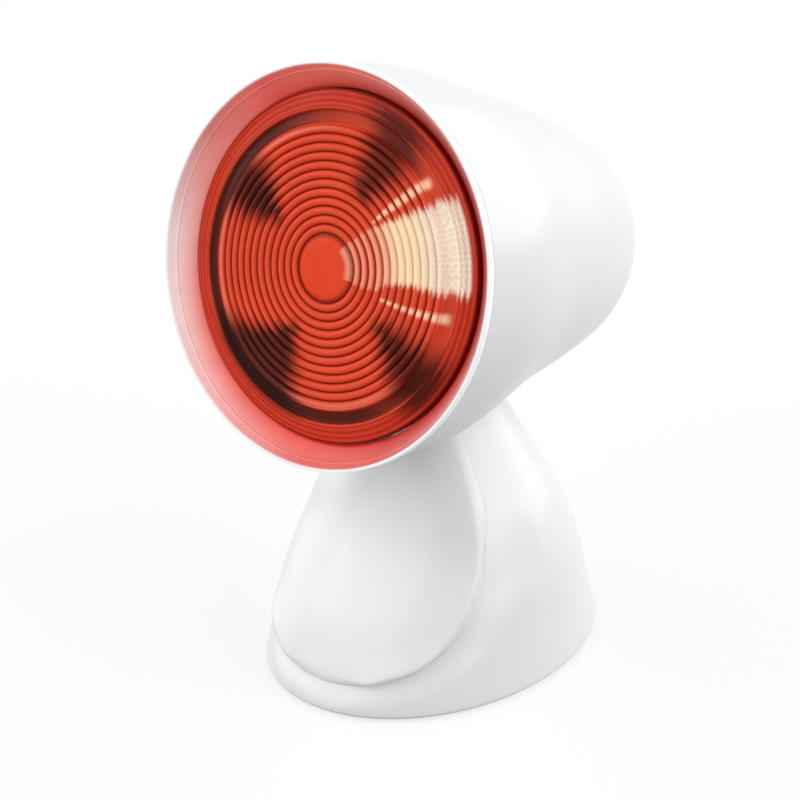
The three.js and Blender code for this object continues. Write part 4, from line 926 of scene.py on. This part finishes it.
def node(tree, kind, **values):
    """Adds a node; values are set on its properties or, with a number, on its sockets."""
    made = tree.nodes.new(kind)
    for key, value in values.items():
        if hasattr(made, key):
            setattr(made, key, value)
        else:
            made.inputs[key.replace("_", " ").title()].default_value = value
    return made


def noise(tree, scale, detail=3):
    """Noise over the object's own coordinates, with features of about one over scale metres."""
    place = tree.nodes.new("ShaderNodeTexCoord")
    texture = node(tree, "ShaderNodeTexNoise", scale=scale, detail=detail)
    tree.links.new(place.outputs["Object"], texture.inputs["Vector"])
    return texture.outputs["Fac"]


def ramp(tree, source, low, high):
    """Maps 0 to 1 onto low to high."""
    spread = node(tree, "ShaderNodeMapRange")
    spread.inputs["To Min"].default_value = low
    spread.inputs["To Max"].default_value = high
    tree.links.new(source, spread.inputs["Value"])
    return spread.outputs["Result"]


def mixed(tree, share, first, second):
    """Mixes two colours, each a colour or a socket, by a share."""
    mix = tree.nodes.new("ShaderNodeMix")
    mix.data_type = "RGBA"
    tree.links.new(share, mix.inputs["Factor"])
    for socket, colour in ((mix.inputs[6], first), (mix.inputs[7], second)):
        if isinstance(colour, bpy.types.NodeSocket):
            tree.links.new(colour, socket)
        else:
            socket.default_value = (*colour, 1)
    return mix.outputs[2]


def kept_tint(tree):
    """The colour and painted light kept on the mesh, made a little uneven."""
    source = tree.nodes.new("ShaderNodeAttribute")
    source.attribute_name = "tint_and_painted_light"
    uneven = tree.nodes.new("ShaderNodeHueSaturation")
    tree.links.new(source.outputs["Color"], uneven.inputs["Color"])
    tree.links.new(ramp(tree, noise(tree, TINT_SCALE), *TINT_SPREAD), uneven.inputs["Value"])
    return uneven.outputs["Color"]


def bumped(tree, shader, height, strength, distance):
    bump = node(tree, "ShaderNodeBump")
    bump.inputs["Strength"].default_value = strength
    bump.inputs["Distance"].default_value = distance
    tree.links.new(height, bump.inputs["Height"])
    tree.links.new(bump.outputs["Normal"], shader.inputs["Normal"])


def grained(name, first, second, roughness, metallic=0.0, scale=60, grain=900, bump=0.05, coat=0.0):
    """A moulded or metal surface: two close tones, an uneven gloss and a fine grain."""
    made, tree, shader = material(name)
    tree.links.new(mixed(tree, noise(tree, scale), first, second), shader.inputs["Base Color"])
    low, high = roughness
    tree.links.new(ramp(tree, noise(tree, scale * 4), low, high), shader.inputs["Roughness"])
    bumped(tree, shader, noise(tree, grain), bump, GRAIN_DEPTH)
    shader.inputs["Metallic"].default_value = metallic
    shader.inputs["Coat Weight"].default_value = coat
    shader.inputs["Coat Roughness"].default_value = COAT_ROUGHNESS
    return made


def tinted(name, roughness, specular, glow):
    """A smooth surface in the colours and painted light kept on its mesh, glowing a little."""
    made, tree, shader = material(name)
    colour = kept_tint(tree)
    tree.links.new(colour, shader.inputs["Base Color"])
    tree.links.new(colour, shader.inputs["Emission Color"])
    shader.inputs["Emission Strength"].default_value = glow
    low, high = roughness
    tree.links.new(ramp(tree, noise(tree, GLOSS_SCALE), low, high), shader.inputs["Roughness"])
    shader.inputs["Specular IOR Level"].default_value = specular
    return made


MATERIALS = {
    "white_plastic": grained("white_plastic", (0.87, 0.88, 0.89), (0.85, 0.86, 0.87), (0.26, 0.32), coat=0.2),
    # The shade plastic's glow is painted light of the bulb, on a part that is no lamp.
    "shade_plastic": tinted("shade_plastic", (0.3, 0.36), 0.3, 0.28),
    "red_glass": tinted("red_glass", (0.12, 0.2), 0.06, 0.23),
    "mirror_glass": grained("mirror_glass", (0.8, 0.81, 0.83), (0.76, 0.77, 0.79), (0.08, 0.14), metallic=1),
    "clear_glass": grained("clear_glass", (0.85, 0.88, 0.88), (0.8, 0.83, 0.84), (0.05, 0.1)),
    "steel": grained("steel", (0.56, 0.57, 0.59), (0.48, 0.49, 0.5), (0.3, 0.42), metallic=1, grain=2500),
    "aluminium": grained("aluminium", (0.75, 0.76, 0.77), (0.68, 0.69, 0.7), (0.28, 0.4), metallic=1),
    "brass": grained("brass", (0.68, 0.52, 0.22), (0.6, 0.44, 0.18), (0.28, 0.38), metallic=1),
    "ceramic": grained("ceramic", (0.86, 0.84, 0.78), (0.82, 0.8, 0.74), (0.2, 0.4), scale=90),
    "rubber": grained("rubber", (0.035, 0.035, 0.037), (0.05, 0.05, 0.052), (0.75, 0.9), grain=2200, bump=0.3),
    "black_plastic": grained(
        "black_plastic", (0.016, 0.016, 0.018), (0.024, 0.024, 0.026), (0.35, 0.5), grain=3000,
    ),
    "grey_plastic": grained("grey_plastic", (0.33, 0.34, 0.36), (0.3, 0.31, 0.33), (0.4, 0.55), grain=2500),
    "cream_plastic": grained("cream_plastic", (0.83, 0.79, 0.66), (0.8, 0.76, 0.63), (0.35, 0.45)),
    "lead_brown": grained("lead_brown", (0.15, 0.06, 0.025), (0.12, 0.05, 0.02), (0.5, 0.65), scale=300),
    "lead_blue": grained("lead_blue", (0.03, 0.11, 0.4), (0.025, 0.09, 0.34), (0.5, 0.65), scale=300),
}


def dress(piece, body, slot, *nodes):
    """Gives a piece its material, its body and the CAD nodes that it stands for."""
    piece.data.materials.clear()
    piece.data.materials.append(MATERIALS[slot])
    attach(piece, body)
    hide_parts(*nodes)


# Bevel width in millimetres, and the least angle in degrees that is bevelled
SOFTENED = {
    "hinge_knuckle": (0.8, 20),
    "switch_frame": (0.35, 30),
    "switch_rocker": (0.4, 15),
    "cord_gland": (0.3, 30),
    "axle_nut": (0.3, 30),
    "lampholder": (0.4, 30),
}


def soften(holder, width, angle):
    """Rounds a CAD node's edges for light to catch, without moving its faces."""
    weld = holder.modifiers.new("weld", "WELD")
    weld.merge_threshold = WELD_DISTANCE * MM
    bevel = holder.modifiers.new("bevel", "BEVEL")
    bevel.width = width * MM
    bevel.segments = BEVEL_SEGMENTS
    bevel.limit_method = "ANGLE"
    bevel.angle_limit = math.radians(angle)
    bevel.harden_normals = True


def dress_frame():
    """Gives every CAD node the material of its slot."""
    for row in frame["record"]["subparts"]:
        holder = frame["nodes"][row["node"]]
        if not holder.material_slots:
            holder.data.materials.append(None)
        holder.material_slots[0].material = MATERIALS[row["material_slot"]]
    for name, (width, angle) in SOFTENED.items():
        soften(frame["nodes"][name], width, angle)


# Studio

CAMERA_AZIMUTH = math.radians(36.8)
CAMERA_ELEVATION = math.radians(22.7)
CAMERA_DISTANCE = 800
CAMERA_AIM = (-41.2, 26.15, 76.9)
CAMERA_LENS = 88.8
FLOOR_HALF = 3000
FLOOR_TONE = 0.25
FLOOR_GLOW = 0.755
FLOOR_ROUGHNESS = 0.9
CAMERA_NEAR = 0.01
WORLD_TONE = (0.92, 0.96, 1)
WORLD_LIGHT = 0.2
SUN_SPREAD = math.radians(60)
SUN_LEAN = math.radians(62)
# Turn from the front and strength
SUNS = {
    "key": (math.radians(97), 1.6),
    "back": (math.radians(157), 1.25),
    "side": (math.radians(277), 1.15),
    "fill": (math.radians(337), 1.35),
}


def add_camera():
    azimuth, elevation = CAMERA_AZIMUTH, CAMERA_ELEVATION
    back = Vector((
        math.sin(azimuth) * math.cos(elevation),
        -math.cos(azimuth) * math.cos(elevation),
        math.sin(elevation),
    ))
    camera = bpy.data.objects.new("camera", bpy.data.cameras.new("camera"))
    bpy.context.scene.collection.objects.link(camera)
    camera.data.lens = CAMERA_LENS
    camera.location = (Vector(CAMERA_AIM) + back * CAMERA_DISTANCE) * MM
    camera.rotation_mode = "QUATERNION"
    camera.rotation_quaternion = (-back).to_track_quat("-Z", "Y")
    camera.data.clip_start = CAMERA_NEAR
    bpy.context.scene.camera = camera


def add_floor():
    """A pale floor that looks white to the camera and keeps the lamp's shadow."""
    half = FLOOR_HALF
    corners = [(-half, -half, 0), (half, -half, 0), (half, half, 0), (-half, half, 0)]
    floor = mesh_piece("floor", corners, [(0, 1, 2, 3)])
    made, tree, shader = material("floor")
    shader.inputs["Base Color"].default_value = (FLOOR_TONE, FLOOR_TONE, FLOOR_TONE, 1)
    shader.inputs["Roughness"].default_value = FLOOR_ROUGHNESS
    shader.inputs["Specular IOR Level"].default_value = 0
    shader.inputs["Emission Color"].default_value = (1, 1, 1, 1)
    glow = node(tree, "ShaderNodeMath", operation="MULTIPLY")
    glow.inputs[1].default_value = FLOOR_GLOW
    tree.links.new(seen_ray(tree), glow.inputs[0])
    tree.links.new(glow.outputs[0], shader.inputs["Emission Strength"])
    floor.data.materials.append(made)


def seen_ray(tree):
    """1 for rays from the camera, and for those that it sees in gloss or through glass."""
    path = tree.nodes.new("ShaderNodeLightPath")
    first = node(tree, "ShaderNodeMath", operation="MAXIMUM")
    second = node(tree, "ShaderNodeMath", operation="MAXIMUM")
    tree.links.new(path.outputs["Is Camera Ray"], first.inputs[0])
    tree.links.new(path.outputs["Is Glossy Ray"], first.inputs[1])
    tree.links.new(first.outputs[0], second.inputs[0])
    tree.links.new(path.outputs["Is Transmission Ray"], second.inputs[1])
    return second.outputs[0]


def add_world():
    world = bpy.data.worlds.new("studio")
    bpy.context.scene.world = world
    world.use_nodes = True
    tree = world.node_tree
    tree.nodes.clear()
    light = node(tree, "ShaderNodeBackground")
    light.inputs["Color"].default_value = (*WORLD_TONE, 1)
    light.inputs["Strength"].default_value = WORLD_LIGHT
    white = node(tree, "ShaderNodeBackground")
    mix = tree.nodes.new("ShaderNodeMixShader")
    output = tree.nodes.new("ShaderNodeOutputWorld")
    white.inputs["Color"].default_value = (1, 1, 1, 1)
    tree.links.new(seen_ray(tree), mix.inputs[0])
    tree.links.new(light.outputs[0], mix.inputs[1])
    tree.links.new(white.outputs[0], mix.inputs[2])
    tree.links.new(mix.outputs[0], output.inputs["Surface"])


def add_suns():
    """Broad soft lights from the right, behind, the left and the front left, even over the whole floor."""
    for name, (turn, power) in SUNS.items():
        lamp = bpy.data.objects.new(name, bpy.data.lights.new(name, "SUN"))
        bpy.context.scene.collection.objects.link(lamp)
        lamp.data.energy = power
        lamp.data.angle = SUN_SPREAD
        lamp.rotation_euler = (SUN_LEAN, 0, turn)


def add_studio():
    add_camera()
    add_floor()
    add_world()
    add_suns()
    bpy.context.scene.view_settings.view_transform = "Standard"


add_studio()
dress_frame()
dress(head_shell(), "head", "white_plastic", "head_shell")
dress(inner_shade(), "head", "shade_plastic", "inner_shade")
dress(bulb_lens(), "head", "red_glass", "bulb_lens")
dress(hood_shell(), "base", "white_plastic", "hood_shell")
dress(front_panel(), "base", "white_plastic", "front_panel")
